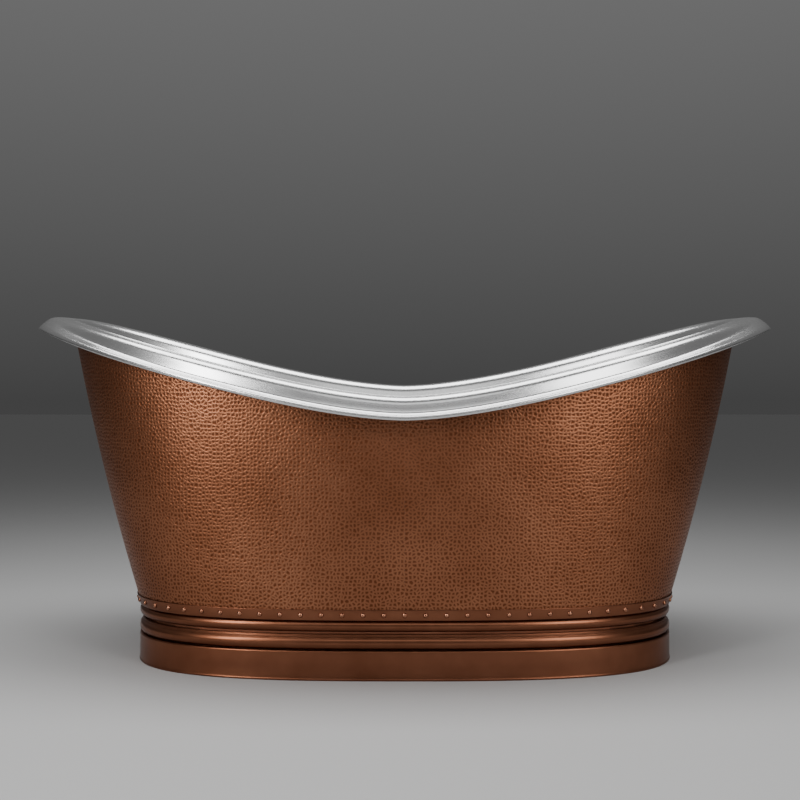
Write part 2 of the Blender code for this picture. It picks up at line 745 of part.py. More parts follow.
def make_stopper(flange_top, nickel, brass, rubber):
    """The stopper: a cap that lifts on a fixed post when its knob is turned."""
    sleeve_inner = POST_RADIUS + TURNING_GAP
    sleeve_outer = sleeve_inner + SLEEVE_WALL
    hub_inner = sleeve_outer + TURNING_GAP
    cap_bottom = flange_top - CAP_DEPTH
    cap_top = flange_top + CAP_RISE
    post_top = flange_top + 0.0055
    washer("stopper_post", POST_BORE_RADIUS, POST_RADIUS, POST_BOTTOM, post_top, brass, 16)
    turned("stopper_cap", [
        (hub_inner, HUB_BOTTOM), (HUB_RADIUS, HUB_BOTTOM), (HUB_RADIUS, cap_bottom),
        (CAP_RADIUS - 0.0045, cap_bottom),
        (CAP_RADIUS - 0.0045, cap_bottom + 0.0016), (CAP_RADIUS, cap_bottom + 0.0019),
        (CAP_RADIUS - 0.0006, cap_bottom + 0.0030), (0.016, cap_top - 0.0002), (hub_inner, cap_top),
    ], nickel)
    turned("stopper_seal", [
        (CAP_RADIUS - 0.0041, cap_bottom - 0.0006), (CAP_RADIUS - 0.0022, cap_bottom - 0.0002),
        (CAP_RADIUS - 0.0014, cap_bottom + 0.0012), (CAP_RADIUS - 0.0041, cap_bottom + 0.0012),
    ], rubber)
    hole_top = post_top + 0.0008
    turned("stopper_knob", [
        (sleeve_inner, HUB_BOTTOM - 0.0020), (sleeve_outer, HUB_BOTTOM - 0.0020),
        (sleeve_outer, cap_top + GAP),
        (0.0068, cap_top + GAP), (0.0058, cap_top + 0.0030), (KNOB_RADIUS, cap_top + 0.0058),
        (KNOB_RADIUS, cap_top + 0.0092), (0.0062, cap_top + 0.0112), (0.0008, cap_top + 0.0118),
        (0.0008, hole_top), (sleeve_inner, hole_top),
    ], nickel)
    washer("knob_clip", sleeve_outer + GAP, HUB_RADIUS - 0.0008, HUB_BOTTOM - 0.0017, HUB_BOTTOM - GAP,
           brass)


clear_scene()
COPPER = material("hammered_copper", (0.36, 0.16, 0.09), 0.42, 1.0)
SMOOTH_COPPER = material("smooth_copper", (0.34, 0.15, 0.085), 0.30, 1.0)
NICKEL = material("nickel", (0.72, 0.72, 0.72), 0.28, 1.0)
STEEL = material("painted_steel", (0.10, 0.10, 0.11), 0.55, 0.0)
BRASS = material("brass", (0.65, 0.50, 0.25), 0.35, 1.0)
RUBBER = material("rubber", (0.03, 0.03, 0.03), 0.80, 0.0)

make_outer_shell(COPPER)
make_basin(NICKEL)
make_rim(NICKEL)
make_rim_wire(STEEL)
make_strap(SMOOTH_COPPER)
make_plinth(SMOOTH_COPPER)
make_frame(STEEL, RUBBER)
make_stopper(make_waste(NICKEL, BRASS, RUBBER), NICKEL, BRASS, RUBBER)
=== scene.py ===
"""A freestanding double-slipper bath, put together in the order of its own making: the copper shell,
the nickel rim and basin, the riveted strap, the moulded plinth, the steel frame and the waste.
"""

import math

import bpy
import numpy as np
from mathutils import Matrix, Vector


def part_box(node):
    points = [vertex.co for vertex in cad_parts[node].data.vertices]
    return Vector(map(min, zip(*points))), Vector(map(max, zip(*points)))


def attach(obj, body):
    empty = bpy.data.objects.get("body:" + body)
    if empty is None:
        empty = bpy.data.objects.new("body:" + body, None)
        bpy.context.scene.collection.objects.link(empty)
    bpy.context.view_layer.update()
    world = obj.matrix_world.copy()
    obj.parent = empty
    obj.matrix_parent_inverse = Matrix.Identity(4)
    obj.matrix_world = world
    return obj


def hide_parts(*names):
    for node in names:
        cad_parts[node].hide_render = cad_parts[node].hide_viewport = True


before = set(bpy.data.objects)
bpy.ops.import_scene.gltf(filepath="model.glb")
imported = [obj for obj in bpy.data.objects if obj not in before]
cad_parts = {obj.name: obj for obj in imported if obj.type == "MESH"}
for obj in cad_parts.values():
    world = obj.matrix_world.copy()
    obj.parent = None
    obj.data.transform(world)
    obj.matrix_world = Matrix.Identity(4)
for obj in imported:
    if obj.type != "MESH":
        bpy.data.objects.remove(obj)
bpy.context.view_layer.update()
scene = bpy.context.scene


# ---------------------------------------------------------------- camera
# A level camera 2.5 m in front of the bath, its lens at the height of the rim's saddle.
# The far rim then hides behind the near one.

camera_data = bpy.data.cameras.new("camera")
camera_data.lens = 47.8
camera_data.shift_x = -0.006
camera = bpy.data.objects.new("camera", camera_data)
camera.location = (0, -2.5, 0.583)
camera.rotation_euler = (math.radians(90), 0, 0)
scene.collection.objects.link(camera)
scene.camera = camera


# ---------------------------------------------------------------- floor and lights
# A plain pale floor in a dim grey room, one large soft light overhead, an upright one to each side in
# front, and a weak one above the camera.

FLOOR_HALF = 40
floor_mesh = bpy.data.meshes.new("floor")
floor_corners = [(-FLOOR_HALF, -FLOOR_HALF, 0), (FLOOR_HALF, -FLOOR_HALF, 0)]
floor_corners += [(FLOOR_HALF, FLOOR_HALF, 0), (-FLOOR_HALF, FLOOR_HALF, 0)]
floor_mesh.from_pydata(floor_corners, [], [(0, 1, 2, 3)])
floor = bpy.data.objects.new("floor", floor_mesh)
scene.collection.objects.link(floor)
floor_paint = bpy.data.materials.new("floor_paint")
floor_paint.use_nodes = True
floor_shader = floor_paint.node_tree.nodes["Principled BSDF"]
floor_shader.inputs["Base Color"].default_value = (0.36, 0.36, 0.36, 1)
floor_shader.inputs["Roughness"].default_value = 0.8
floor_mesh.materials.append(floor_paint)

world = bpy.data.worlds.new("room")
scene.world = world
world.use_nodes = True
room = world.node_tree
room_light = room.nodes["Background"]
room_light.inputs["Strength"].default_value = 1.0
room_place = room.nodes.new("ShaderNodeTexCoord")
room_split = room.nodes.new("ShaderNodeSeparateXYZ")
room_ramp = room.nodes.new("ShaderNodeValToRGB")
room_ramp.color_ramp.elements[0].position = 0.0
room_ramp.color_ramp.elements[0].color = (0.06, 0.06, 0.06, 1)
room_ramp.color_ramp.elements[1].position = 0.45
room_ramp.color_ramp.elements[1].color = (0.18, 0.18, 0.18, 1)
room.links.new(room_place.outputs["Generated"], room_split.inputs["Vector"])
room.links.new(room_split.outputs["Z"], room_ramp.inputs["Fac"])
room.links.new(room_ramp.outputs["Color"], room_light.inputs["Color"])


def softbox(name, place, turn, width, height, power):
    """A rectangular soft light, its turn given in degrees."""
    data = bpy.data.lights.new(name, "AREA")
    data.shape = "RECTANGLE"
    data.size = width
    data.size_y = height
    data.energy = power
    light = bpy.data.objects.new(name, data)
    light.location = place
    light.rotation_euler = [math.radians(t) for t in turn]
    scene.collection.objects.link(light)


softbox("overhead", (0, -0.25, 2.5), (0, 0, 0), 3.2, 1.3, 88)
softbox("left", (-1.75, -2.15, 1.35), (75, 0, -40), 0.55, 1.7, 42)
softbox("right", (1.75, -2.45, 1.35), (75, 0, 35), 1.0, 1.7, 34)
softbox("front", (0, -3.6, 2.2), (62, 0, 0), 2.0, 1.0, 9)


# ---------------------------------------------------------------- hammered copper shell
# The outer wall is sheet copper, raised into an oval and hammered all over from outside, in eight panels
# welded edge to edge. Each hammer mark is a real hollow in the mesh. The hollows are painted darker,
# as painted shade, and the ridges between them lighter, as a painted highlight.

FOOT_HALF_LENGTH = 0.6085
FOOT_HALF_WIDTH = 0.303
FOOT_HEIGHT = 0.140
WALL_REF_HEIGHT = 0.540
WALL_FLARE_X = 0.1405
WALL_FLARE_Y = 0.030
WALL_BULGE = 0.028
FOOT_OVAL_POWER = 2.85
TOP_OVAL_POWER = 2.5
SHELL_SHEET = 0.0016
SHELL_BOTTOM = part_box("outer_shell")[0][2]
SHELL_DROP_SIDE = 0.030
SHELL_DROP_CHANGE = 0.020
PANELS = 8
PANEL_COLUMNS = 240
PANEL_ROWS = 320


def raised(value, power):
    """A power that keeps the value's sign."""
    return np.sign(value) * np.abs(value) ** power


def oval(half_length, half_width, power, angle):
    """Plan points of a superellipse, as an array of x and an array of y."""
    x = half_length * raised(np.cos(angle), 2 / power)
    y = half_width * raised(np.sin(angle), 2 / power)
    return x, y


def even_angles(count):
    """Parameter angles that cut the foot's oval into equal lengths, the first at the front, on -Y."""
    fine = -np.pi / 2 + 2 * np.pi * np.arange(20001) / 20000
    x, y = oval(FOOT_HALF_LENGTH, FOOT_HALF_WIDTH, FOOT_OVAL_POWER, fine)
    run = np.concatenate([[0], np.cumsum(np.hypot(np.diff(x), np.diff(y)))])
    return np.interp(run[-1] * np.arange(count) / count, run, fine)


def wall_plan(angle, height, inset=0.0):
    """Plan points of the outer wall at a height, moved inwards by the inset."""
    share = (height - FOOT_HEIGHT) / WALL_REF_HEIGHT
    bulge = WALL_BULGE * share * (1 - share)
    half_length = FOOT_HALF_LENGTH + WALL_FLARE_X * share + bulge - inset
    half_width = FOOT_HALF_WIDTH + WALL_FLARE_Y * share + bulge / 3 - inset
    power = FOOT_OVAL_POWER + (TOP_OVAL_POWER - FOOT_OVAL_POWER) * share
    return oval(half_length, half_width, power, angle)


RIM_OVAL_POWER = 1.955
RIM_HALF_LENGTH = 0.8116
RIM_HALF_WIDTH = 0.3479
END_HEIGHT = 0.77496
SADDLE_HEIGHT = 0.613
SADDLE_START_POWER = 1.631
SADDLE_END_POWER = 1.598
TURN_START = 0.248
TURN_END = 1.009


def saddle(x):
    """Height of the top of the rim: low at the middle of the bath, high and level at its ends."""
    reach = np.minimum(np.abs(x) / RIM_HALF_LENGTH, 1)
    rise = 1 - (1 - reach**SADDLE_START_POWER) ** SADDLE_END_POWER
    return SADDLE_HEIGHT + (END_HEIGHT - SADDLE_HEIGHT) * rise


def rim_frame(angle):
    """Datum points of the rim, their outward normals, and how far the section has turned."""
    x, y = oval(RIM_HALF_LENGTH, RIM_HALF_WIDTH, RIM_OVAL_POWER, angle)
    slope_x = raised(x / RIM_HALF_LENGTH, RIM_OVAL_POWER - 1) / RIM_HALF_LENGTH
    slope_y = raised(y / RIM_HALF_WIDTH, RIM_OVAL_POWER - 1) / RIM_HALF_WIDTH
    size = np.hypot(slope_x, slope_y)
    normal_x, normal_y = slope_x / size, slope_y / size
    share = np.clip((np.abs(normal_x) - TURN_START) / (TURN_END - TURN_START), 0, 1)
    return x, y, normal_x, normal_y, share * share * (3 - 2 * share)


def grid_faces(rows, columns, wrap_rows=False, wrap_columns=False, first=0):
    """Quads of a grid of points, row by row."""
    r = np.arange(rows if wrap_rows else rows - 1)
    c = np.arange(columns if wrap_columns else columns - 1)
    r, c = np.meshgrid(r, c, indexing="ij")
    up = (r + 1) % rows
    on = (c + 1) % columns
    corners = (r * columns + c, r * columns + on, up * columns + on, up * columns + c)
    return np.stack(corners, axis=-1).reshape(-1, 4) + first


def mesh_object(name, points, faces, material, smooth_angle=40):
    """A mesh object from an array of points and a list of faces, with its normals turned outwards."""
    mesh = bpy.data.meshes.new(name)
    mesh.from_pydata(np.asarray(points).tolist(), [], [list(face) for face in faces])
    mesh.calc_loop_triangles()
    corners = np.empty(3 * len(mesh.loop_triangles), dtype=np.int32)
    mesh.loop_triangles.foreach_get("vertices", corners)
    corners = np.asarray(points)[corners.reshape(-1, 3)]
    if np.sum(corners[:, 0] * np.cross(corners[:, 1], corners[:, 2])) < 0:
        mesh.flip_normals()
    mesh.materials.append(material)
    mesh.shade_smooth()
    mesh.set_sharp_from_angle(angle=math.radians(smooth_angle))
    obj = bpy.data.objects.new(name, mesh)
    scene.collection.objects.link(obj)
    return obj


def add_node(tree, kind, place, **values):
    """A node with its properties and, where a name isn't a property, its inputs set."""
    made = tree.nodes.new(kind)
    made.location = place
    for name, value in values.items():
        if hasattr(made, name):
            setattr(made, name, value)
        else:
            made.inputs[name.replace("_", " ")].default_value = value
    return made


def group_tree(name, kind, inputs, outputs):
    """A node group with named sockets, given as (name, socket type, default)."""
    tree = bpy.data.node_groups.new(name, kind)
    for label, socket, default in inputs:
        made = tree.interface.new_socket(name=label, in_out="INPUT", socket_type=socket)
        if default is not None:
            made.default_value = default
    for label, socket in outputs:
        tree.interface.new_socket(name=label, in_out="OUTPUT", socket_type=socket)
    return tree


def hammer_pattern(tree, place, size, seed):
    """Nodes that give the distance inwards from the ridge between two hammer marks, as a share of the
    marks' size. The same nodes drive the mesh and the painted shade of its hollows, so the two agree."""
    apart = add_node(tree, "ShaderNodeMath", (-900, -200), operation="DIVIDE")
    apart.inputs[0].default_value = 1.0
    tree.links.new(size, apart.inputs[1])
    drift = add_node(tree, "ShaderNodeTexNoise", (-900, 200), noise_dimensions="4D", Scale=38.0, Detail=1.0)
    tree.links.new(place, drift.inputs["Vector"])
    tree.links.new(seed, drift.inputs["W"])
    bend = add_node(tree, "ShaderNodeVectorMath", (-700, 200), operation="MULTIPLY_ADD")
    bend.inputs[1].default_value = (0.007, 0.007, 0.0)
    tree.links.new(drift.outputs["Color"], bend.inputs[0])
    tree.links.new(place, bend.inputs[2])
    cell = add_node(
        tree, "ShaderNodeTexVoronoi", (-500, 0), voronoi_dimensions="2D", feature="DISTANCE_TO_EDGE",
        Randomness=0.72
    )
    tree.links.new(bend.outputs["Vector"], cell.inputs["Vector"])
    tree.links.new(apart.outputs["Value"], cell.inputs["Scale"])
    return cell.outputs["Distance"]


def hammer_tree():
    """Presses round hollows into a sheet along its normals, where the sheet's mask allows it."""
    tree = group_tree(
        "hammering", "GeometryNodeTree",
        (("Sheet", "NodeSocketGeometry", None), ("Mark Size", "NodeSocketFloat", 0.008),
         ("Depth", "NodeSocketFloat", 0.0005), ("Seed", "NodeSocketFloat", 3.0),
         ("Material", "NodeSocketMaterial", None)),
        (("Sheet", "NodeSocketGeometry"),),
    )
    given = add_node(tree, "NodeGroupInput", (-1300, 0))
    out = add_node(tree, "NodeGroupOutput", (900, 0))
    place = add_node(tree, "GeometryNodeInputNamedAttribute", (-1300, -300), data_type="FLOAT_VECTOR")
    place.inputs["Name"].default_value = "sheet"
    mask = add_node(tree, "GeometryNodeInputNamedAttribute", (-300, -500), data_type="FLOAT", Name="struck")
    inwards = hammer_pattern(
        tree, place.outputs["Attribute"], given.outputs["Mark Size"], given.outputs["Seed"]
    )
    hollow = add_node(tree, "ShaderNodeMapRange", (-200, 0), interpolation_type="SMOOTHERSTEP")
    hollow.inputs["From Min"].default_value = 0.0
    hollow.inputs["From Max"].default_value = 0.46
    tree.links.new(inwards, hollow.inputs["Value"])
    deep = add_node(tree, "ShaderNodeMath", (0, 0), operation="MULTIPLY")
    tree.links.new(hollow.outputs["Result"], deep.inputs[0])
    tree.links.new(given.outputs["Depth"], deep.inputs[1])
    masked = add_node(tree, "ShaderNodeMath", (200, 0), operation="MULTIPLY")
    tree.links.new(deep.outputs["Value"], masked.inputs[0])
    tree.links.new(mask.outputs["Attribute"], masked.inputs[1])
    inward = add_node(tree, "ShaderNodeMath", (350, 0), operation="MULTIPLY")
    inward.inputs[1].default_value = -1.0
    tree.links.new(masked.outputs["Value"], inward.inputs[0])
    normal = add_node(tree, "GeometryNodeInputNormal", (200, -200))
    offset = add_node(tree, "ShaderNodeVectorMath", (500, -100), operation="SCALE")
    tree.links.new(normal.outputs["Normal"], offset.inputs["Vector"])
    tree.links.new(inward.outputs["Value"], offset.inputs["Scale"])
    press = add_node(tree, "GeometryNodeSetPosition", (600, 0))
    tree.links.new(given.outputs["Sheet"], press.inputs["Geometry"])
    tree.links.new(offset.outputs["Vector"], press.inputs["Offset"])
    painted = add_node(tree, "GeometryNodeSetMaterial", (750, 0))
    tree.links.new(press.outputs["Geometry"], painted.inputs["Geometry"])
    tree.links.new(given.outputs["Material"], painted.inputs["Material"])
    tree.links.new(painted.outputs["Geometry"], out.inputs["Sheet"])
    return tree


def through_nodes(obj, tree, **values):
    """The plain mesh that a Geometry Nodes tree makes from an object, which keeps the object's name."""
    modifier = obj.modifiers.new(tree.name, "NODES")
    modifier.node_group = tree
    sockets = {item.name: item.identifier for item in tree.interface.items_tree if item.in_out == "INPUT"}
    for name, value in values.items():
        modifier[sockets[name.replace("_", " ")]] = value
    depsgraph = bpy.context.evaluated_depsgraph_get()
    seen = obj.evaluated_get(depsgraph)
    mesh = bpy.data.meshes.new_from_object(seen, preserve_all_data_layers=True, depsgraph=depsgraph)
    if mesh.materials[0] is None:
        mesh.materials.pop(index=0)
    obj.modifiers.remove(modifier)
    if obj.type == "MESH":
        obj.data = mesh
        return obj
    name = obj.name
    bpy.data.objects.remove(obj)
    made = bpy.data.objects.new(name, mesh)
    scene.collection.objects.link(made)
    return made


def clouding_group():
    """Slow, cloudy change of tone, as a chemical patina leaves on copper: 0 where dark, 1 where light."""
    tree = group_tree(
        "clouding", "ShaderNodeTree",
        (("Cloud Size", "NodeSocketFloat", 0.2), ("Speckle Size", "NodeSocketFloat", 0.02),
         ("Speckle Share", "NodeSocketFloat", 0.3)),
        (("Tone", "NodeSocketFloat"),),
    )
    given = add_node(tree, "NodeGroupInput", (-900, 0))
    out = add_node(tree, "NodeGroupOutput", (300, 0))
    place = add_node(tree, "ShaderNodeTexCoord", (-900, -300))
    noises = []
    for label, drop, detail in (("Cloud Size", 0, 3.0), ("Speckle Size", -300, 4.0)):
        apart = add_node(tree, "ShaderNodeMath", (-700, drop), operation="DIVIDE")
        apart.inputs[0].default_value = 1.0
        tree.links.new(given.outputs[label], apart.inputs[1])
        noise = add_node(tree, "ShaderNodeTexNoise", (-500, drop), Detail=detail)
        tree.links.new(place.outputs["Object"], noise.inputs["Vector"])
        tree.links.new(apart.outputs["Value"], noise.inputs["Scale"])
        noises.append(noise.outputs["Fac"])
    both = add_node(tree, "ShaderNodeMix", (-200, 0), data_type="FLOAT")
    tree.links.new(given.outputs["Speckle Share"], both.inputs["Factor"])
    tree.links.new(noises[0], both.inputs["A"])
    tree.links.new(noises[1], both.inputs["B"])
    spread = add_node(tree, "ShaderNodeMapRange", (0, 0), From_Min=0.32, From_Max=0.68)
    tree.links.new(both.outputs["Result"], spread.inputs["Value"])
    tree.links.new(spread.outputs["Result"], out.inputs["Tone"])
    return tree


def new_material(name, roughness, metallic):
    """A material and its shader, with the values that are the same all over it."""
    made = bpy.data.materials.new(name)
    made.use_nodes = True
    shader = made.node_tree.nodes["Principled BSDF"]
    shader.inputs["Roughness"].default_value = roughness
    shader.inputs["Metallic"].default_value = metallic
    return made, made.node_tree, shader


CLOUDING = clouding_group()


def cloudy_tone(tree, shader, dark, light, cloud_size, speckle_size=None):
    """Gives a shader a base colour that drifts between two tones."""
    clouds = add_node(tree, "ShaderNodeGroup", (-650, 300), node_tree=CLOUDING, Cloud_Size=cloud_size)
    if speckle_size:
        clouds.inputs["Speckle Size"].default_value = speckle_size
    tone = add_node(tree, "ShaderNodeMix", (-350, 300), data_type="RGBA")
    tone.inputs["A"].default_value = (*dark, 1)
    tone.inputs["B"].default_value = (*light, 1)
    tree.links.new(clouds.outputs["Tone"], tone.inputs["Factor"])
    tree.links.new(tone.outputs["Result"], shader.inputs["Base Color"])


MARK_SIZE = 0.0082
MARK_SEED = 3.0

hammered_copper, tree, shader = new_material("hammered_copper", 0.4, 1.0)
sheet_place = add_node(tree, "ShaderNodeUVMap", (-1500, 300), uv_map="sheet")
mark_size = add_node(tree, "ShaderNodeValue", (-1500, 100))
mark_size.outputs[0].default_value = MARK_SIZE
mark_seed = add_node(tree, "ShaderNodeValue", (-1500, 0))
mark_seed.outputs[0].default_value = MARK_SEED
inwards = hammer_pattern(tree, sheet_place.outputs["UV"], mark_size.outputs[0], mark_seed.outputs[0])
clouds = add_node(tree, "ShaderNodeGroup", (-500, -600), node_tree=CLOUDING, Cloud_Size=0.16)
clouds.inputs["Speckle Size"].default_value = 0.012
# The ridges between hammer marks are painted lighter, as a painted highlight, and the hollows darker, as
# painted shade. Both tones drift with the cloudy patina.
ridge_highlight_tone = add_node(tree, "ShaderNodeMix", (-200, -400), data_type="RGBA")
ridge_highlight_tone.inputs["A"].default_value = (0.24, 0.091, 0.045, 1)
ridge_highlight_tone.inputs["B"].default_value = (0.34, 0.142, 0.075, 1)
tree.links.new(clouds.outputs["Tone"], ridge_highlight_tone.inputs["Factor"])
hollow_shade_tone = add_node(tree, "ShaderNodeMix", (-200, -650), data_type="RGBA")
hollow_shade_tone.inputs["A"].default_value = (0.115, 0.035, 0.015, 1)
hollow_shade_tone.inputs["B"].default_value = (0.165, 0.053, 0.024, 1)
tree.links.new(clouds.outputs["Tone"], hollow_shade_tone.inputs["Factor"])
hollow = add_node(tree, "ShaderNodeMapRange", (-200, 100), interpolation_type="SMOOTHSTEP", From_Min=0.10)
hollow.inputs["From Max"].default_value = 0.36
tree.links.new(inwards, hollow.inputs["Value"])
copper_tone = add_node(tree, "ShaderNodeMix", (0, 0), data_type="RGBA")
tree.links.new(hollow.outputs["Result"], copper_tone.inputs["Factor"])
tree.links.new(ridge_highlight_tone.outputs["Result"], copper_tone.inputs["A"])
tree.links.new(hollow_shade_tone.outputs["Result"], copper_tone.inputs["B"])
tree.links.new(copper_tone.outputs["Result"], shader.inputs["Base Color"])
gloss = add_node(tree, "ShaderNodeMapRange", (0, -300), To_Min=0.36, To_Max=0.50)
tree.links.new(hollow.outputs["Result"], gloss.inputs["Value"])
tree.links.new(gloss.outputs["Result"], shader.inputs["Roughness"])
crisp = add_node(tree, "ShaderNodeBump", (0, -600), Distance=0.00025, Strength=0.6)
crisp.invert = True
tree.links.new(hollow.outputs["Result"], crisp.inputs["Height"])
tree.links.new(crisp.outputs["Normal"], shader.inputs["Normal"])

HAMMERING = hammer_tree()
angles = even_angles(PANELS * PANEL_COLUMNS)
levels = np.linspace(0, 1, PANEL_ROWS + 1)


def shell_surface(inset):
    """Points of the wall over the fine grid. Three passes settle its top edge on the leaning wall."""
    _, _, _, _, turn = rim_frame(angles)
    top = np.full(len(angles), SADDLE_HEIGHT)
    for _ in range(3):
        top = saddle(wall_plan(angles, top)[0]) - SHELL_DROP_SIDE + SHELL_DROP_CHANGE * turn
    height = SHELL_BOTTOM + levels[:, None] * (top - SHELL_BOTTOM)[None, :]
    plan_x, plan_y = wall_plan(angles[None, :], height, inset)
    return np.stack([plan_x, plan_y, height], axis=-1)


outside = shell_surface(0.0)
inside = shell_surface(SHELL_SHEET)
closed = np.concatenate([outside, outside[:, :1]], axis=1)
steps = np.hypot(np.diff(closed[..., 0], axis=1), np.diff(closed[..., 1], axis=1))
run = np.concatenate([np.zeros((len(levels), 1)), np.cumsum(steps, axis=1)], axis=1)

for number in range(PANELS):
    first = number * PANEL_COLUMNS
    columns = np.arange(first, first + PANEL_COLUMNS + 1)
    wrapped = columns % (PANELS * PANEL_COLUMNS)
    skin = outside[:, wrapped].reshape(-1, 3)
    coarse_rows = np.arange(0, PANEL_ROWS + 1, 8)
    coarse_columns = np.arange(0, PANEL_COLUMNS + 1, 8)
    lining = inside[np.ix_(coarse_rows, wrapped[coarse_columns])].reshape(-1, 3)
    width = PANEL_COLUMNS + 1
    lining_width = len(coarse_columns)
    faces = grid_faces(PANEL_ROWS + 1, width).tolist()
    faces += grid_faces(len(coarse_rows), lining_width, first=len(skin))[:, ::-1].tolist()
    for edge_row, lining_row, turned in ((0, 0, False), (PANEL_ROWS, len(coarse_rows) - 1, True)):
        for k in range(lining_width - 1):
            along = [edge_row * width + c for c in range(coarse_columns[k], coarse_columns[k + 1] + 1)]
            behind = len(skin) + lining_row * lining_width + k
            back = [behind + 1, behind]
            face = along + back
            faces.append(face if turned else face[::-1])
    for edge_column, lining_column, turned in ((0, 0, True), (PANEL_COLUMNS, lining_width - 1, False)):
        for k in range(len(coarse_rows) - 1):
            along = [r * width + edge_column for r in range(coarse_rows[k], coarse_rows[k + 1] + 1)]
            below = len(skin) + k * lining_width + lining_column
            back = [below + lining_width, below]
            face = along + back
            faces.append(face if turned else face[::-1])
    points = np.concatenate([skin, lining])
    panel = mesh_object(f"shell_panel_{number + 1}", points, faces, hammered_copper, 60)
    across = run[:, columns] - (run[:, -1:] if number >= PANELS / 2 else 0)
    flat = np.stack([across + 10, outside[:, wrapped, 2] + 10], axis=-1).reshape(-1, 2)
    flat = np.concatenate([flat, np.zeros((len(lining), 2))])
    corners = np.empty(len(panel.data.loops), dtype=np.int64)
    panel.data.loops.foreach_get("vertex_index", corners)
    sheet_map = panel.data.uv_layers.new(name="sheet")
    sheet_map.data.foreach_set("uv", flat[corners].astype(np.float32).ravel())
    struck = np.zeros((PANEL_ROWS + 1, width), dtype=np.float32)
    struck[3:-1] = 1.0
    struck = np.concatenate([struck.ravel(), np.zeros(len(lining), dtype=np.float32)])
    panel.data.attributes.new("struck", "FLOAT", "POINT").data.foreach_set("value", struck)
    panel = through_nodes(
        panel, HAMMERING, Mark_Size=MARK_SIZE, Depth=0.00050, Seed=MARK_SEED, Material=hammered_copper
    )
    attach(panel, "bath")
    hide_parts("outer_shell")


# ---------------------------------------------------------------- nickel rim
# The rim is pressed from sheet copper and nickel-plated, then brushed along its length. It stands up from
# the basin, goes over two rolls and a cove that fade out towards the ends, and has a lip curled round a
# rod. It is soldered to the basin.

SIDE_SECTION = (
    (-23.5, -18), (-21.5, -8), (-14, -1.8), (-5, 0), (5, -2.7), (12.3, -10), (15, -20), (16.5, -23),
    (24, -23.8), (32, -27.7), (37.3, -34.5), (39, -43), (40, -50), (41.5, -56.5), (45.5, -59.8), (51, -61),
    (57, -62), (58.5, -66.5), (56, -71), (50, -71.4),
)
END_SECTION = (
    (-82, -40), (-77, -27), (-69, -16), (-59, -8.5), (-50, -4.8), (-42, -3), (-36, -2), (-30, -1.2),
    (-24, -0.7), (-17, -0.2), (-9, 0.1), (0, 0), (6, -0.6), (12, -2.4), (18, -5.8), (25, -11.2),
    (32, -17.6), (39, -26.3), (37.5, -29.6), (31, -30.6),
)
RIM_SWELL = 0.03
SWELL_REACH = 1.30
RIM_SHEET = 0.0016
RIM_STATIONS = 800
RIM_POINTS_BETWEEN = 3


def brushing_group():
    """Fine scratches that run along one direction: a roughness that varies and a height for a bump."""
    tree = group_tree(
        "brushing", "ShaderNodeTree",
        (("Along", "NodeSocketVector", None), ("Scratch Size", "NodeSocketFloat", 0.0008),
         ("Roughness", "NodeSocketFloat", 0.28), ("Variation", "NodeSocketFloat", 0.08)),
        (("Roughness", "NodeSocketFloat"), ("Height", "NodeSocketFloat")),
    )
    given = add_node(tree, "NodeGroupInput", (-900, 0))
    out = add_node(tree, "NodeGroupOutput", (500, 0))
    apart = add_node(tree, "ShaderNodeMath", (-700, -200), operation="DIVIDE")
    apart.inputs[0].default_value = 1.0
    tree.links.new(given.outputs["Scratch Size"], apart.inputs[1])
    scratches = add_node(tree, "ShaderNodeTexNoise", (-500, 0), Detail=3.0, Roughness=0.6)
    tree.links.new(given.outputs["Along"], scratches.inputs["Vector"])
    tree.links.new(apart.outputs["Value"], scratches.inputs["Scale"])
    centred = add_node(tree, "ShaderNodeMath", (-200, 0), operation="SUBTRACT")
    centred.inputs[1].default_value = 0.5
    tree.links.new(scratches.outputs["Fac"], centred.inputs[0])
    varied = add_node(tree, "ShaderNodeMath", (100, 0), operation="MULTIPLY_ADD")
    tree.links.new(centred.outputs["Value"], varied.inputs[0])
    tree.links.new(given.outputs["Variation"], varied.inputs[1])
    tree.links.new(given.outputs["Roughness"], varied.inputs[2])
    tree.links.new(varied.outputs["Value"], out.inputs["Roughness"])
    tree.links.new(scratches.outputs["Fac"], out.inputs["Height"])
    return tree


BRUSHING = brushing_group()


def brushed_metal(name, light, dark, roughness, stretch, scratch_size, uv_map=None):
    """Plated metal, brushed along the direction in which the stretch is smallest."""
    made, tree, shader = new_material(name, roughness, 1.0)
    if uv_map:
        place = add_node(tree, "ShaderNodeUVMap", (-1100, 0), uv_map=uv_map).outputs["UV"]
    else:
        place = add_node(tree, "ShaderNodeTexCoord", (-1100, 0)).outputs["Object"]
    mapping = add_node(tree, "ShaderNodeMapping", (-900, 0), Scale=stretch)
    tree.links.new(place, mapping.inputs["Vector"])
    brushed = add_node(tree, "ShaderNodeGroup", (-650, 0), node_tree=BRUSHING, Scratch_Size=scratch_size)
    brushed.inputs["Roughness"].default_value = roughness
    brushed.inputs["Variation"].default_value = 0.10
    tree.links.new(mapping.outputs["Vector"], brushed.inputs["Along"])
    tree.links.new(brushed.outputs["Roughness"], shader.inputs["Roughness"])
    cloudy_tone(tree, shader, dark, light, 0.12, 0.01)
    bump = add_node(tree, "ShaderNodeBump", (-350, -300), Distance=0.00003, Strength=0.4)
    tree.links.new(brushed.outputs["Height"], bump.inputs["Height"])
    tree.links.new(bump.outputs["Normal"], shader.inputs["Normal"])
    return made


rim_nickel = brushed_metal(
    "rim_nickel", (0.70, 0.70, 0.70), (0.63, 0.63, 0.63), 0.24, (0.05, 1.0, 1.0), 0.0005, "along"
)


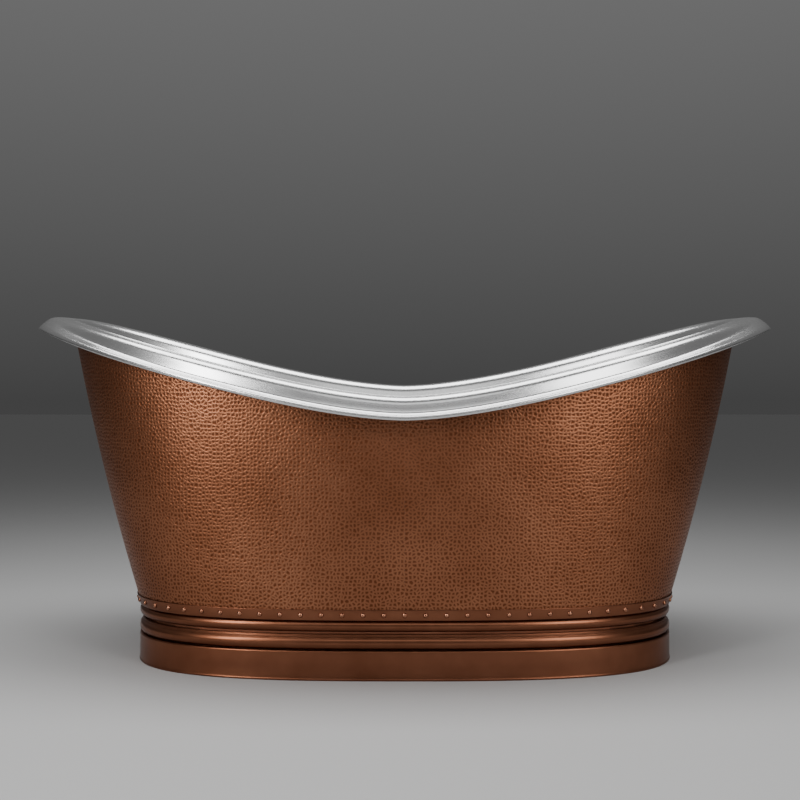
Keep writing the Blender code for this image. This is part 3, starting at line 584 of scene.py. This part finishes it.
def smooth_section(corners, between):
    """A smooth curve through a section's points, with so many steps between two of them."""
    corners = np.array(corners, dtype=float)
    ends = np.vstack([2 * corners[0] - corners[1], corners, 2 * corners[-1] - corners[-2]])
    pieces = []
    for k in range(1, len(ends) - 2):
        before, start, stop, after = ends[k - 1:k + 3]
        t = np.arange(between)[:, None] / between
        pieces.append(
            0.5 * (2 * start + (stop - before) * t + (2 * before - 5 * start + 4 * stop - after) * t**2
                   + (3 * start - before - 3 * stop + after) * t**3)
        )
    return np.vstack(pieces + [corners[-1:]])


def offset_section(section, thickness):
    """The far side of a sheet whose near side is the section, for many sections at once."""
    step = np.gradient(section, axis=-2)
    step /= np.linalg.norm(step, axis=-1, keepdims=True)
    return section + thickness * np.stack([step[..., 1], -step[..., 0]], axis=-1)


def ring_mesh(name, points, material, smooth_angle=40):
    """A closed ring from loops that run round the bath, one after another round its section."""
    rows, columns = points.shape[:2]
    faces = grid_faces(rows, columns, wrap_rows=True, wrap_columns=True)
    return mesh_object(name, points.reshape(-1, 3), faces, material, smooth_angle)


def add_running_uv(obj, points, name="along"):
    """A UV map in metres: the first number runs round the bath, the second round the section."""
    rows, columns = points.shape[:2]
    middle = points.mean(axis=0)
    round_bath = np.concatenate([[0], np.cumsum(np.linalg.norm(np.diff(middle, axis=0), axis=1))])
    column = points[:, 0]
    round_section = np.concatenate([[0], np.cumsum(np.linalg.norm(np.diff(column, axis=0), axis=1))])
    u, v = np.meshgrid(round_bath, round_section)
    flat = np.stack([u, v], axis=-1).reshape(-1, 2)
    corners = np.empty(len(obj.data.loops), dtype=np.int64)
    obj.data.loops.foreach_get("vertex_index", corners)
    place = flat[corners].reshape(-1, 4, 2)
    full_length = round_bath[-1] + np.linalg.norm(middle[0] - middle[-1])
    for k, length in ((0, full_length), (1, round_section[-1])):
        low = place[..., k].max(axis=1, keepdims=True) - place[..., k] > length / 2
        place[..., k] += low * length
    obj.data.uv_layers.new(name=name).data.foreach_set("uv", place.astype(np.float32).ravel())


rim_angles = even_angles(RIM_STATIONS)
x, y, normal_x, normal_y, turn = rim_frame(rim_angles)
side = smooth_section(SIDE_SECTION, RIM_POINTS_BETWEEN)
end = smooth_section(END_SECTION, RIM_POINTS_BETWEEN)
swell = 1 + RIM_SWELL * np.sin(np.pi * np.minimum(np.abs(x) / SWELL_REACH, 1))
side_here = np.stack(np.broadcast_arrays(side[None, :, 0], side[None, :, 1] * swell[:, None]), axis=-1)
section = (side_here + (end[None] - side_here) * turn[:, None, None]) / 1000
far_side = offset_section(section, RIM_SHEET)[:, ::-1]
section = np.concatenate([section, far_side], axis=1)
rim_points = np.stack([
    x[:, None] + normal_x[:, None] * section[..., 0],
    y[:, None] + normal_y[:, None] * section[..., 0],
    saddle(x)[:, None] + section[..., 1],
], axis=-1).transpose(1, 0, 2)
rim = ring_mesh("nickel_rim", rim_points, rim_nickel)
add_running_uv(rim, rim_points)
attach(rim, "bath")
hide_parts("rim")
BASIN_EDGE = rim_points[0]


# ---------------------------------------------------------------- nickel basin
# The inner bath is one raised sheet of copper, nickel-plated inside. Its floor falls a little to the
# drain, and its walls come up out of a rounded knee, steep at the sides and sloping at both ends.

BASIN_FLOOR = 0.122
DRAIN_DIP = 0.008
DRAIN_LAND_RADIUS = 0.042
DRAIN_HOLE_RADIUS = 0.0255
FLOOR_HALF_LENGTH = 0.46
FLOOR_HALF_WIDTH = 0.19
END_KNEE = 0.40
SIDE_KNEE = 0.62
KNEE_POWER = 2.5
BASIN_SHEET = 0.0016
BASIN_GAP = 0.0004

basin_nickel = brushed_metal(
    "basin_nickel", (0.84, 0.84, 0.84), (0.74, 0.74, 0.74), 0.34, (1.0, 1.0, 6.0), 0.006
)


def knee(level, share):
    """How far the basin's wall has come out at a level: a rounded knee, then a straight slope."""
    curve = (1 - (1 - level) ** KNEE_POWER) ** (1 / KNEE_POWER)
    return (1 - share) * level + share * curve


def basin_rows(drop, inset):
    """Rows of the basin's sheet from the drain hole out over the floor and up to the rim."""
    plan_x, plan_y = oval(FLOOR_HALF_LENGTH, FLOOR_HALF_WIDTH, FOOT_OVAL_POWER, rim_angles)
    reach = np.hypot(plan_x, plan_y)
    rows = []
    for radius in np.linspace(DRAIN_HOLE_RADIUS, DRAIN_LAND_RADIUS, 4)[:-1]:
        height = np.full_like(reach, BASIN_FLOOR - DRAIN_DIP - drop)
        rows.append(np.stack([plan_x / reach * radius, plan_y / reach * radius, height], axis=-1))
    for share in np.linspace(0, 1, 24)[:-1]:
        radius = DRAIN_LAND_RADIUS + (reach - DRAIN_LAND_RADIUS) * share
        height = np.full_like(reach, BASIN_FLOOR - DRAIN_DIP * (1 - share) - drop)
        rows.append(np.stack([plan_x / reach * radius, plan_y / reach * radius, height], axis=-1))
    for level in np.linspace(0, 1, 60) ** 2.2:
        out = knee(level, SIDE_KNEE + (END_KNEE - SIDE_KNEE) * turn)
        wall_x = plan_x + (BASIN_EDGE[:, 0] - plan_x) * out
        wall_y = plan_y + (BASIN_EDGE[:, 1] - plan_y) * out
        size = np.hypot(wall_x, wall_y)
        push = inset * (1 - (1 - level) ** 8)
        height = BASIN_FLOOR + (BASIN_EDGE[:, 2] - BASIN_GAP - BASIN_FLOOR) * level - drop * (1 - level) ** 3
        rows.append(np.stack([wall_x * (1 + push / size), wall_y * (1 + push / size), height], axis=-1))
    return np.array(rows)


basin_points = np.concatenate([basin_rows(0.0, 0.0), basin_rows(BASIN_SHEET, BASIN_SHEET)[::-1]])
basin = ring_mesh("nickel_basin", basin_points[:, ::2], basin_nickel)
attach(basin, "bath")
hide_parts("basin")


# ---------------------------------------------------------------- riveted strap
# A strap of smooth copper covers the shell's foot. Its rivets have domed heads, one at the middle of the front
# and the rest evenly round from it.

STRAP_BOTTOM = 0.1265
STRAP_TOP = 0.1485
STRAP_THICKNESS = 0.0016
STRAP_GAP = 0.0009
RIVET_COUNT = 72
RIVET_RADIUS = 0.0055
RIVET_HEIGHT = 0.0040

smooth_copper, tree, shader = new_material("smooth_copper", 0.3, 1.0)
place = add_node(tree, "ShaderNodeUVMap", (-1100, 0), uv_map="along")
mapping = add_node(tree, "ShaderNodeMapping", (-900, 0), Scale=(0.06, 1.0, 1.0))
tree.links.new(place.outputs["UV"], mapping.inputs["Vector"])
brushed = add_node(tree, "ShaderNodeGroup", (-650, 0), node_tree=BRUSHING, Scratch_Size=0.0015)
brushed.inputs["Roughness"].default_value = 0.30
brushed.inputs["Variation"].default_value = 0.08
tree.links.new(mapping.outputs["Vector"], brushed.inputs["Along"])
tree.links.new(brushed.outputs["Roughness"], shader.inputs["Roughness"])
cloudy_tone(tree, shader, (0.17, 0.062, 0.032), (0.24, 0.095, 0.052), 0.14, 0.03)

STRAP_STATIONS = 576
strap_angles = even_angles(STRAP_STATIONS)


def rounded_band(bottom, top, near, far, radius, steps=4):
    """A closed upright section of (outward, height) with rounded outer corners."""
    turns = np.linspace(0, np.pi / 2, steps + 1)
    upper = [(far - radius + radius * math.sin(t), top - radius + radius * math.cos(t)) for t in turns]
    lower = [(far - radius + radius * math.cos(t), bottom + radius - radius * math.sin(t)) for t in turns]
    return [(near, top)] + upper + lower + [(near, bottom)]


def wall_band(section):
    """Loops of a closed section given as (outward from the shell's wall, height)."""
    loops = []
    for outward, height in section:
        plan_x, plan_y = wall_plan(strap_angles, height, -outward)
        loops.append(np.stack([plan_x, plan_y, np.full_like(plan_x, height)], axis=-1))
    return np.array(loops)


strap_section = rounded_band(STRAP_BOTTOM, STRAP_TOP, STRAP_GAP, STRAP_GAP + STRAP_THICKNESS, 0.0006)
strap_points = wall_band(strap_section)
strap = ring_mesh("copper_strap", strap_points, smooth_copper)
add_running_uv(strap, strap_points)
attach(strap, "bath")
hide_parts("strap")

rivet_copper, tree, shader = new_material("rivet_copper", 0.26, 1.0)
cloudy_tone(tree, shader, (0.26, 0.100, 0.055), (0.46, 0.215, 0.130), 0.03, 0.004)


def rivet_tree():
    """Domed rivet heads at equal steps along a closed path, each facing out from it."""
    tree = group_tree(
        "rivets", "GeometryNodeTree",
        (("Path", "NodeSocketGeometry", None), ("Count", "NodeSocketInt", 72),
         ("Head Radius", "NodeSocketFloat", 0.0054), ("Head Height", "NodeSocketFloat", 0.0034),
         ("Material", "NodeSocketMaterial", None)),
        (("Rivets", "NodeSocketGeometry"),),
    )
    given = add_node(tree, "NodeGroupInput", (-900, 0))
    out = add_node(tree, "NodeGroupOutput", (900, 0))
    points = add_node(tree, "GeometryNodeCurveToPoints", (-600, 100), mode="COUNT")
    tree.links.new(given.outputs["Path"], points.inputs["Curve"])
    tree.links.new(given.outputs["Count"], points.inputs["Count"])
    ball = add_node(tree, "GeometryNodeMeshUVSphere", (-1000, -300), Segments=16, Rings=8, Radius=1.0)
    spot = add_node(tree, "GeometryNodeInputPosition", (-1200, -500))
    above = add_node(tree, "ShaderNodeVectorMath", (-1000, -500), operation="MAXIMUM")
    above.inputs[1].default_value = (-1, -1, -0.08)
    tree.links.new(spot.outputs["Position"], above.inputs[0])
    flat = add_node(tree, "GeometryNodeSetPosition", (-800, -300))
    tree.links.new(ball.outputs["Mesh"], flat.inputs["Geometry"])
    tree.links.new(above.outputs["Vector"], flat.inputs["Position"])
    shape = add_node(tree, "ShaderNodeCombineXYZ", (-400, -450))
    tree.links.new(given.outputs["Head Radius"], shape.inputs["X"])
    tree.links.new(given.outputs["Head Radius"], shape.inputs["Y"])
    tree.links.new(given.outputs["Head Height"], shape.inputs["Z"])
    dome = add_node(tree, "GeometryNodeTransform", (-300, -300))
    tree.links.new(flat.outputs["Geometry"], dome.inputs["Geometry"])
    tree.links.new(shape.outputs["Vector"], dome.inputs["Scale"])
    tangent = add_node(tree, "ShaderNodeVectorMath", (-300, -600), operation="CROSS_PRODUCT")
    tangent.inputs[1].default_value = (0, 0, 1)
    tree.links.new(points.outputs["Tangent"], tangent.inputs[0])
    facing = add_node(tree, "FunctionNodeAlignRotationToVector", (-100, -600), axis="Z")
    tree.links.new(tangent.outputs["Vector"], facing.inputs["Vector"])
    heads = add_node(tree, "GeometryNodeInstanceOnPoints", (200, 0))
    tree.links.new(points.outputs["Points"], heads.inputs["Points"])
    tree.links.new(dome.outputs["Geometry"], heads.inputs["Instance"])
    tree.links.new(facing.outputs["Rotation"], heads.inputs["Rotation"])
    whole = add_node(tree, "GeometryNodeRealizeInstances", (400, 0))
    tree.links.new(heads.outputs["Instances"], whole.inputs["Geometry"])
    smooth = add_node(tree, "GeometryNodeSetShadeSmooth", (550, 0))
    tree.links.new(whole.outputs["Geometry"], smooth.inputs["Geometry"])
    painted = add_node(tree, "GeometryNodeSetMaterial", (700, 0))
    tree.links.new(smooth.outputs["Geometry"], painted.inputs["Geometry"])
    tree.links.new(given.outputs["Material"], painted.inputs["Material"])
    tree.links.new(painted.outputs["Geometry"], out.inputs["Rivets"])
    return tree


rivet_height = (STRAP_BOTTOM + STRAP_TOP) / 2
path_x, path_y = wall_plan(strap_angles, rivet_height, -STRAP_GAP - STRAP_THICKNESS)
path = bpy.data.curves.new("strap_rivets", "CURVE")
path.dimensions = "3D"
spline = path.splines.new("POLY")
spline.points.add(STRAP_STATIONS - 1)
for point, px, py in zip(spline.points, path_x, path_y):
    point.co = (px, py, rivet_height, 1)
spline.use_cyclic_u = True
rivets = bpy.data.objects.new("strap_rivets", path)
scene.collection.objects.link(rivets)
rivets = through_nodes(
    rivets, rivet_tree(), Count=RIVET_COUNT, Head_Radius=RIVET_RADIUS, Head_Height=RIVET_HEIGHT,
    Material=rivet_copper
)
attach(rivets, "bath")


# ---------------------------------------------------------------- moulded plinth
# The plinth is smooth copper: an upper rounded ring, a lower rounded ring with a small fillet above it, and
# a skirt with a bead at the floor. All three are soldered round an upright band, which is bare inside.

SKIRT_HALF_LENGTH = 0.607
SKIRT_HALF_WIDTH = 0.300
PLINTH_SHEET = 0.0016


def plinth_ring(name, section, node, between=4):
    """A bent sheet in the plinth: the section is its outer face, as (outward, height) from the top down."""
    near = smooth_section(section, between) if between > 1 else np.array(section, dtype=float)
    far = offset_section(near, PLINTH_SHEET)[::-1]
    loops = []
    for outward, height in np.concatenate([near, far]):
        half_length = SKIRT_HALF_LENGTH + outward
        half_width = SKIRT_HALF_WIDTH + outward
        plan_x, plan_y = oval(half_length, half_width, FOOT_OVAL_POWER, strap_angles)
        loops.append(np.stack([plan_x, plan_y, np.full_like(plan_x, height)], axis=-1))
    loops = np.array(loops)
    ring = ring_mesh(name, loops, smooth_copper)
    add_running_uv(ring, loops)
    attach(ring, "bath")
    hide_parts(node)


def arc(centre, radii, first, last, steps):
    """Points on an elliptical arc, its angles in degrees from outward towards up."""
    turns = np.radians(np.linspace(first, last, steps + 1))
    return [(centre[0] + radii[0] * math.cos(t), centre[1] + radii[1] * math.sin(t)) for t in turns]


plinth_ring("upper_moulding", arc((-0.0115, 0.1129), (0.0115, 0.0129), 90, -90, 28), "upper_ring", 1)
lower = [(-0.0105, 0.0955), (-0.0075, 0.0955), (-0.0066, 0.0949), (-0.0062, 0.0938), (-0.0068, 0.0926)]
lower += arc((-0.0085, 0.07725), (0.0085, 0.01325), 66, -66, 24)
lower += [(-0.0070, 0.0636), (-0.0100, 0.0630)]
plinth_ring("lower_moulding", lower, "lower_ring", 1)
skirt = [(-0.0100, 0.0620), (-0.0040, 0.0620)] + arc((-0.0030, 0.0590), (0.0030, 0.0030), 90, 0, 6)
skirt += [(0.0, 0.030), (0.0, 0.0070)] + arc((0.0002, 0.0030), (0.0012, 0.0020), 80, -60, 8) + [(0.0, 0.0)]
plinth_ring("plinth_skirt", skirt, "skirt", 1)

band_copper, tree, shader = new_material("band_copper", 0.42, 1.0)
cloudy_tone(tree, shader, (0.20, 0.075, 0.040), (0.34, 0.140, 0.080), 0.1)


def paint_nodes(material, *names):
    """Gives a material to every slot of the CAD nodes that stay as they are."""
    for name in names:
        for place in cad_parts[name].material_slots:
            place.material = material


paint_nodes(band_copper, "plinth_band")


# ---------------------------------------------------------------- steel frame and rim rod
# A foot ring, four box-section bearers and two rails carry the basin on rubber pads. They are welded up and
# bolted inside the plinth, then painted black. The rod in the rim's lip is drawn mild steel.

frame_paint, tree, shader = new_material("frame_paint", 0.5, 0.0)
shader.inputs["Coat Weight"].default_value = 0.15
cloudy_tone(tree, shader, (0.012, 0.012, 0.013), (0.035, 0.034, 0.033), 0.08, 0.004)
place = add_node(tree, "ShaderNodeTexCoord", (-900, -300))
peel = add_node(tree, "ShaderNodeTexNoise", (-650, -300), Scale=900.0, Detail=1.0)
tree.links.new(place.outputs["Object"], peel.inputs["Vector"])
bump = add_node(tree, "ShaderNodeBump", (-350, -300), Distance=0.0001, Strength=0.4)
tree.links.new(peel.outputs["Fac"], bump.inputs["Height"])
tree.links.new(bump.outputs["Normal"], shader.inputs["Normal"])
paint_nodes(frame_paint, "foot_ring", "rail_front", "rail_back")
paint_nodes(frame_paint, *[f"bearer_{number}" for number in range(1, 5)])

drawn_steel = brushed_metal(
    "drawn_steel", (0.50, 0.50, 0.51), (0.36, 0.36, 0.37), 0.36, (0.2, 1.0, 1.0), 0.002
)
paint_nodes(drawn_steel, "rim_wire")

zinc = brushed_metal("zinc_plate", (0.66, 0.66, 0.68), (0.50, 0.50, 0.53), 0.34, (1.0, 1.0, 1.0), 0.002)
paint_nodes(zinc, *[f"frame_bolt_{number}" for number in range(1, 9)])

rubber, tree, shader = new_material("black_rubber", 0.75, 0.0)
place = add_node(tree, "ShaderNodeTexCoord", (-900, 0))
dust = add_node(tree, "ShaderNodeTexNoise", (-650, 0), Scale=120.0, Detail=4.0)
tree.links.new(place.outputs["Object"], dust.inputs["Vector"])
tone = add_node(tree, "ShaderNodeMix", (-350, 0), data_type="RGBA")
tone.inputs["A"].default_value = (0.012, 0.012, 0.012, 1)
tone.inputs["B"].default_value = (0.045, 0.044, 0.042, 1)
tree.links.new(dust.outputs["Fac"], tone.inputs["Factor"])
tree.links.new(tone.outputs["Result"], shader.inputs["Base Color"])
paint_nodes(rubber, *[f"pad_{number}" for number in range(1, 7)])
paint_nodes(rubber, "flange_gasket", "pan_washer", "tail_washer", "stopper_seal")


# ---------------------------------------------------------------- waste
# The waste is turned and cast brass, nickel-plated and brushed where it shows. Its flange beds on a gasket
# in the basin, a brass nut clamps it from below, and a slip nut with four wings holds the tail pipe.

fitting_nickel = brushed_metal(
    "fitting_nickel", (0.82, 0.82, 0.82), (0.72, 0.72, 0.72), 0.22, (0.04, 1.0, 1.0), 0.0006, "along"
)
bare_brass = brushed_metal(
    "bare_brass", (0.80, 0.60, 0.28), (0.62, 0.43, 0.18), 0.32, (0.04, 1.0, 1.0), 0.0008, "along"
)
plain_brass = brushed_metal(
    "plain_brass", (0.80, 0.60, 0.28), (0.62, 0.43, 0.18), 0.34, (1.0, 1.0, 1.0), 0.002
)


def eased(profile, radius, steps=3, closed=True):
    """A profile with its corners rounded, as far as their shorter side allows."""
    profile = [np.array(p, dtype=float) for p in profile]
    count = len(profile)
    made = []
    for i, corner in enumerate(profile):
        if not closed and i in (0, count - 1):
            made.append(corner)
            continue
        before, after = profile[i - 1] - corner, profile[(i + 1) % count] - corner
        reach = min(radius, np.linalg.norm(before) * 0.45, np.linalg.norm(after) * 0.45)
        start = corner + before / np.linalg.norm(before) * reach
        stop = corner + after / np.linalg.norm(after) * reach
        for t in np.linspace(0, 1, steps + 1):
            made.append(start * (1 - t) ** 2 + corner * 2 * t * (1 - t) + stop * t**2)
    return np.array(made)


def turned(name, profile, material, sides=96, easing=0.0004, outline=None):
    """A piece turned about the waste's axis from a profile of (radius, height), which runs up its outer side.
    Profile ends on the axis close as poles; otherwise the profile closes on itself as a ring."""
    solid = profile[0][0] == 0
    points = eased(profile, easing, closed=not solid)
    angle = 2 * np.pi * np.arange(sides) / sides
    body = points[1:-1] if solid else points
    radius = np.repeat(body[:, :1], sides, axis=1)
    if outline:
        radius = outline(radius, angle[None, :])
    heights = np.repeat(body[:, 1:], sides, axis=1)
    loops = np.stack([radius * np.cos(angle), radius * np.sin(angle), heights], axis=-1)
    verts = loops.reshape(-1, 3)
    faces = grid_faces(len(loops), sides, wrap_rows=not solid, wrap_columns=True).tolist()
    if solid:
        low, high, last = len(verts), len(verts) + 1, len(verts) - sides
        verts = np.concatenate([verts, [(0, 0, points[0][1]), (0, 0, points[-1][1])]])
        faces += [[(k + 1) % sides, k, low] for k in range(sides)]
        faces += [[last + k, last + (k + 1) % sides, high] for k in range(sides)]
    made = mesh_object(name, verts, faces, material, 50)
    run = np.concatenate([[0], np.cumsum(np.linalg.norm(np.diff(points, axis=0), axis=1))])
    layer = made.data.uv_layers.new(name="along").data
    mean_radius = float(points[:, 0].mean())
    for face in made.data.polygons:
        columns = [made.data.loops[k].vertex_index % sides for k in face.loop_indices]
        for k in face.loop_indices:
            vertex = made.data.loops[k].vertex_index
            row = min(vertex // sides, len(run) - 1)
            turn_share = (vertex % sides) / sides
            if vertex % sides == 0 and max(columns) > 1:
                turn_share = 1.0
            layer[k].uv = (turn_share * 2 * math.pi * mean_radius, run[row])
    return made


PAN_TOP = BASIN_FLOOR - DRAIN_DIP
GASKET_THICKNESS = 0.0016
FLANGE_RADIUS = 0.035
FLANGE_BOTTOM = PAN_TOP + GASKET_THICKNESS + 2 * BASIN_GAP
FLANGE_TOP = FLANGE_BOTTOM + 0.0030
THROAT_OUTER = 0.0240
THROAT_INNER = 0.0205
THROAT_BOTTOM = 0.078
SEAT_RADIUS = THROAT_INNER + 0.0065

flange = turned("waste_ring", [
    (THROAT_INNER, THROAT_BOTTOM), (THROAT_OUTER, THROAT_BOTTOM), (THROAT_OUTER, FLANGE_BOTTOM),
    (FLANGE_RADIUS, FLANGE_BOTTOM), (FLANGE_RADIUS, FLANGE_BOTTOM + 0.0010),
    (FLANGE_RADIUS - 0.0016, FLANGE_TOP - 0.0006), (FLANGE_RADIUS - 0.0045, FLANGE_TOP),
    (SEAT_RADIUS, FLANGE_TOP), (SEAT_RADIUS - 0.0008, FLANGE_TOP - 0.0008),
    (THROAT_INNER, FLANGE_TOP - 0.0090),
], fitting_nickel)
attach(flange, "bath")
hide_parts("waste_flange")

BOSS_BOTTOM = 0.094
BOSS_TOP = 0.100
BOSS_RADIUS = 0.0075
ARM_HALF_WIDTH = 0.0020
POST_RADIUS = 0.0035


def cross_outline(radius, angle):
    """Four flat arms, 4 mm wide, that reach from the boss to the throat."""
    across = np.abs(((angle + np.pi / 4) % (np.pi / 2)) - np.pi / 4)
    reach = np.minimum(ARM_HALF_WIDTH / np.maximum(np.sin(across), 1e-6), THROAT_INNER + 0.0008)
    return np.where(radius > POST_RADIUS + 0.001, np.maximum(BOSS_RADIUS, reach), radius)


cross = turned("waste_cross", [
    (POST_RADIUS + BASIN_GAP, BOSS_BOTTOM), (BOSS_RADIUS, BOSS_BOTTOM),
    (BOSS_RADIUS, BOSS_TOP), (POST_RADIUS + BASIN_GAP, BOSS_TOP),
], fitting_nickel, 288, 0.0003, cross_outline)
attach(cross, "bath")

WASHERS_HEIGHT = 0.0054
NUT_HEIGHT = 0.010
NUT_CHAMFER = 0.0018
NUT_FACE_RADIUS = 0.0312
UNDER_PAN = PAN_TOP - BASIN_SHEET - BASIN_GAP
NUT_TOP = UNDER_PAN - WASHERS_HEIGHT - BASIN_GAP
NUT_CORNER_RADIUS = 0.0345
NUT_BORE = THROAT_OUTER + BASIN_GAP


def hexagon_outline(radius, angle):
    """A hexagon with its corners cut back by the chamfer that a lathe leaves."""
    flat = NUT_CORNER_RADIUS * math.cos(math.pi / 6)
    sixth = ((angle + np.pi / 6) % (np.pi / 3)) - np.pi / 6
    return np.where(radius > THROAT_OUTER + 0.002, np.minimum(radius, flat / np.cos(sixth)), radius)


nut = turned("clamping_nut", [
    (NUT_BORE, NUT_TOP - NUT_HEIGHT), (NUT_FACE_RADIUS, NUT_TOP - NUT_HEIGHT),
    (NUT_CORNER_RADIUS, NUT_TOP - NUT_HEIGHT + NUT_CHAMFER), (NUT_CORNER_RADIUS, NUT_TOP - NUT_CHAMFER),
    (NUT_FACE_RADIUS, NUT_TOP), (NUT_BORE, NUT_TOP),
], bare_brass, 144, 0.0003, hexagon_outline)
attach(nut, "bath")
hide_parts("waste_nut")

TAIL_INNER = 0.0170
TAIL_OUTER = 0.0190
TAIL_BOTTOM = 0.010
TAIL_TOP = THROAT_BOTTOM + 0.010
pipe = turned("waste_pipe", [
    (TAIL_INNER, TAIL_BOTTOM), (TAIL_OUTER, TAIL_BOTTOM), (TAIL_OUTER, TAIL_TOP), (TAIL_INNER, TAIL_TOP),
], fitting_nickel)
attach(pipe, "bath")
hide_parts("tail_pipe")


def winged_outline(radius, angle):
    """Four rounded wings for turning the nut by hand."""
    across = ((angle + np.pi / 4 + np.pi / 4) % (np.pi / 2)) - np.pi / 4
    wing = 0.0030 * np.exp(-((across / 0.11) ** 2))
    return np.where(radius > 0.0265, radius + wing, radius)


SLIP_TOP = THROAT_BOTTOM + 0.009
SLIP_LIP = THROAT_BOTTOM - 0.0035 - BASIN_GAP
SLIP_BOTTOM = SLIP_LIP - 0.003
SLIP_RADIUS = 0.0285
SLIP_BORE = 0.0194
slip = turned("winged_nut", [
    (SLIP_BORE, SLIP_BOTTOM), (0.0275, SLIP_BOTTOM), (SLIP_RADIUS, SLIP_LIP),
    (SLIP_RADIUS, SLIP_TOP - 0.002), (0.0278, SLIP_TOP), (NUT_BORE, SLIP_TOP), (NUT_BORE, SLIP_LIP),
    (SLIP_BORE, SLIP_LIP),
], fitting_nickel, 144, 0.0004, winged_outline)
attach(slip, "bath")
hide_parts("slip_nut")
paint_nodes(plain_brass, "brass_washer", "stopper_post", "knob_clip")


# ---------------------------------------------------------------- stopper
# A turned and plated cap closes the waste. Turning the knurled knob lifts it off its seat on the brass
# post. A rubber seal rings its underside.

CAP_RADIUS = 0.0262
CAP_BOTTOM = FLANGE_TOP - 0.0015
CAP_TOP = FLANGE_TOP + 0.0032
HUB_INNER = 0.0063
HUB_OUTER = 0.0090
HUB_BOTTOM = 0.1050
cap = turned("waste_cap", [
    (HUB_INNER, HUB_BOTTOM), (HUB_OUTER, HUB_BOTTOM), (HUB_OUTER, CAP_BOTTOM),
    (CAP_RADIUS - 0.0045, CAP_BOTTOM), (CAP_RADIUS - 0.0045, CAP_BOTTOM + 0.0016),
    (CAP_RADIUS, CAP_BOTTOM + 0.0019), (CAP_RADIUS, CAP_BOTTOM + 0.0026), (0.0225, CAP_TOP - 0.0008),
    (0.0170, CAP_TOP - 0.0002), (0.0125, CAP_TOP), (HUB_INNER, CAP_TOP),
], fitting_nickel, 120)
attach(cap, "stopper")
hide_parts("stopper_cap")

KNOB_RADIUS = 0.0095
KNURLS = 28
KNURL_DEPTH = 0.00028
SLEEVE_INNER = 0.0040
SLEEVE_OUTER = 0.0058
SLEEVE_BOTTOM = HUB_BOTTOM - 0.0020
SOCKET_TOP = FLANGE_TOP + 0.0063


def knurled_outline(radius, angle):
    """Shallow upright grooves round the knob's grip."""
    grip = np.clip((radius - 0.0088) / 0.0005, 0, 1)
    return radius - grip * KNURL_DEPTH * (0.5 + 0.5 * np.cos(KNURLS * angle))


knob = turned("stopper_grip", [
    (0, SOCKET_TOP), (SLEEVE_INNER, SOCKET_TOP), (SLEEVE_INNER, SLEEVE_BOTTOM),
    (SLEEVE_OUTER, SLEEVE_BOTTOM), (SLEEVE_OUTER, CAP_TOP + BASIN_GAP), (0.0068, CAP_TOP + BASIN_GAP),
    (0.0060, CAP_TOP + 0.0028),
    (0.0082, CAP_TOP + 0.0050), (KNOB_RADIUS, CAP_TOP + 0.0058), (KNOB_RADIUS, CAP_TOP + 0.0092),
    (0.0084, CAP_TOP + 0.0103), (0.0050, CAP_TOP + 0.0115), (0, CAP_TOP + 0.0118),
], fitting_nickel, 168, 0.0005, knurled_outline)
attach(knob, "knob")
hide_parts("stopper_knob")
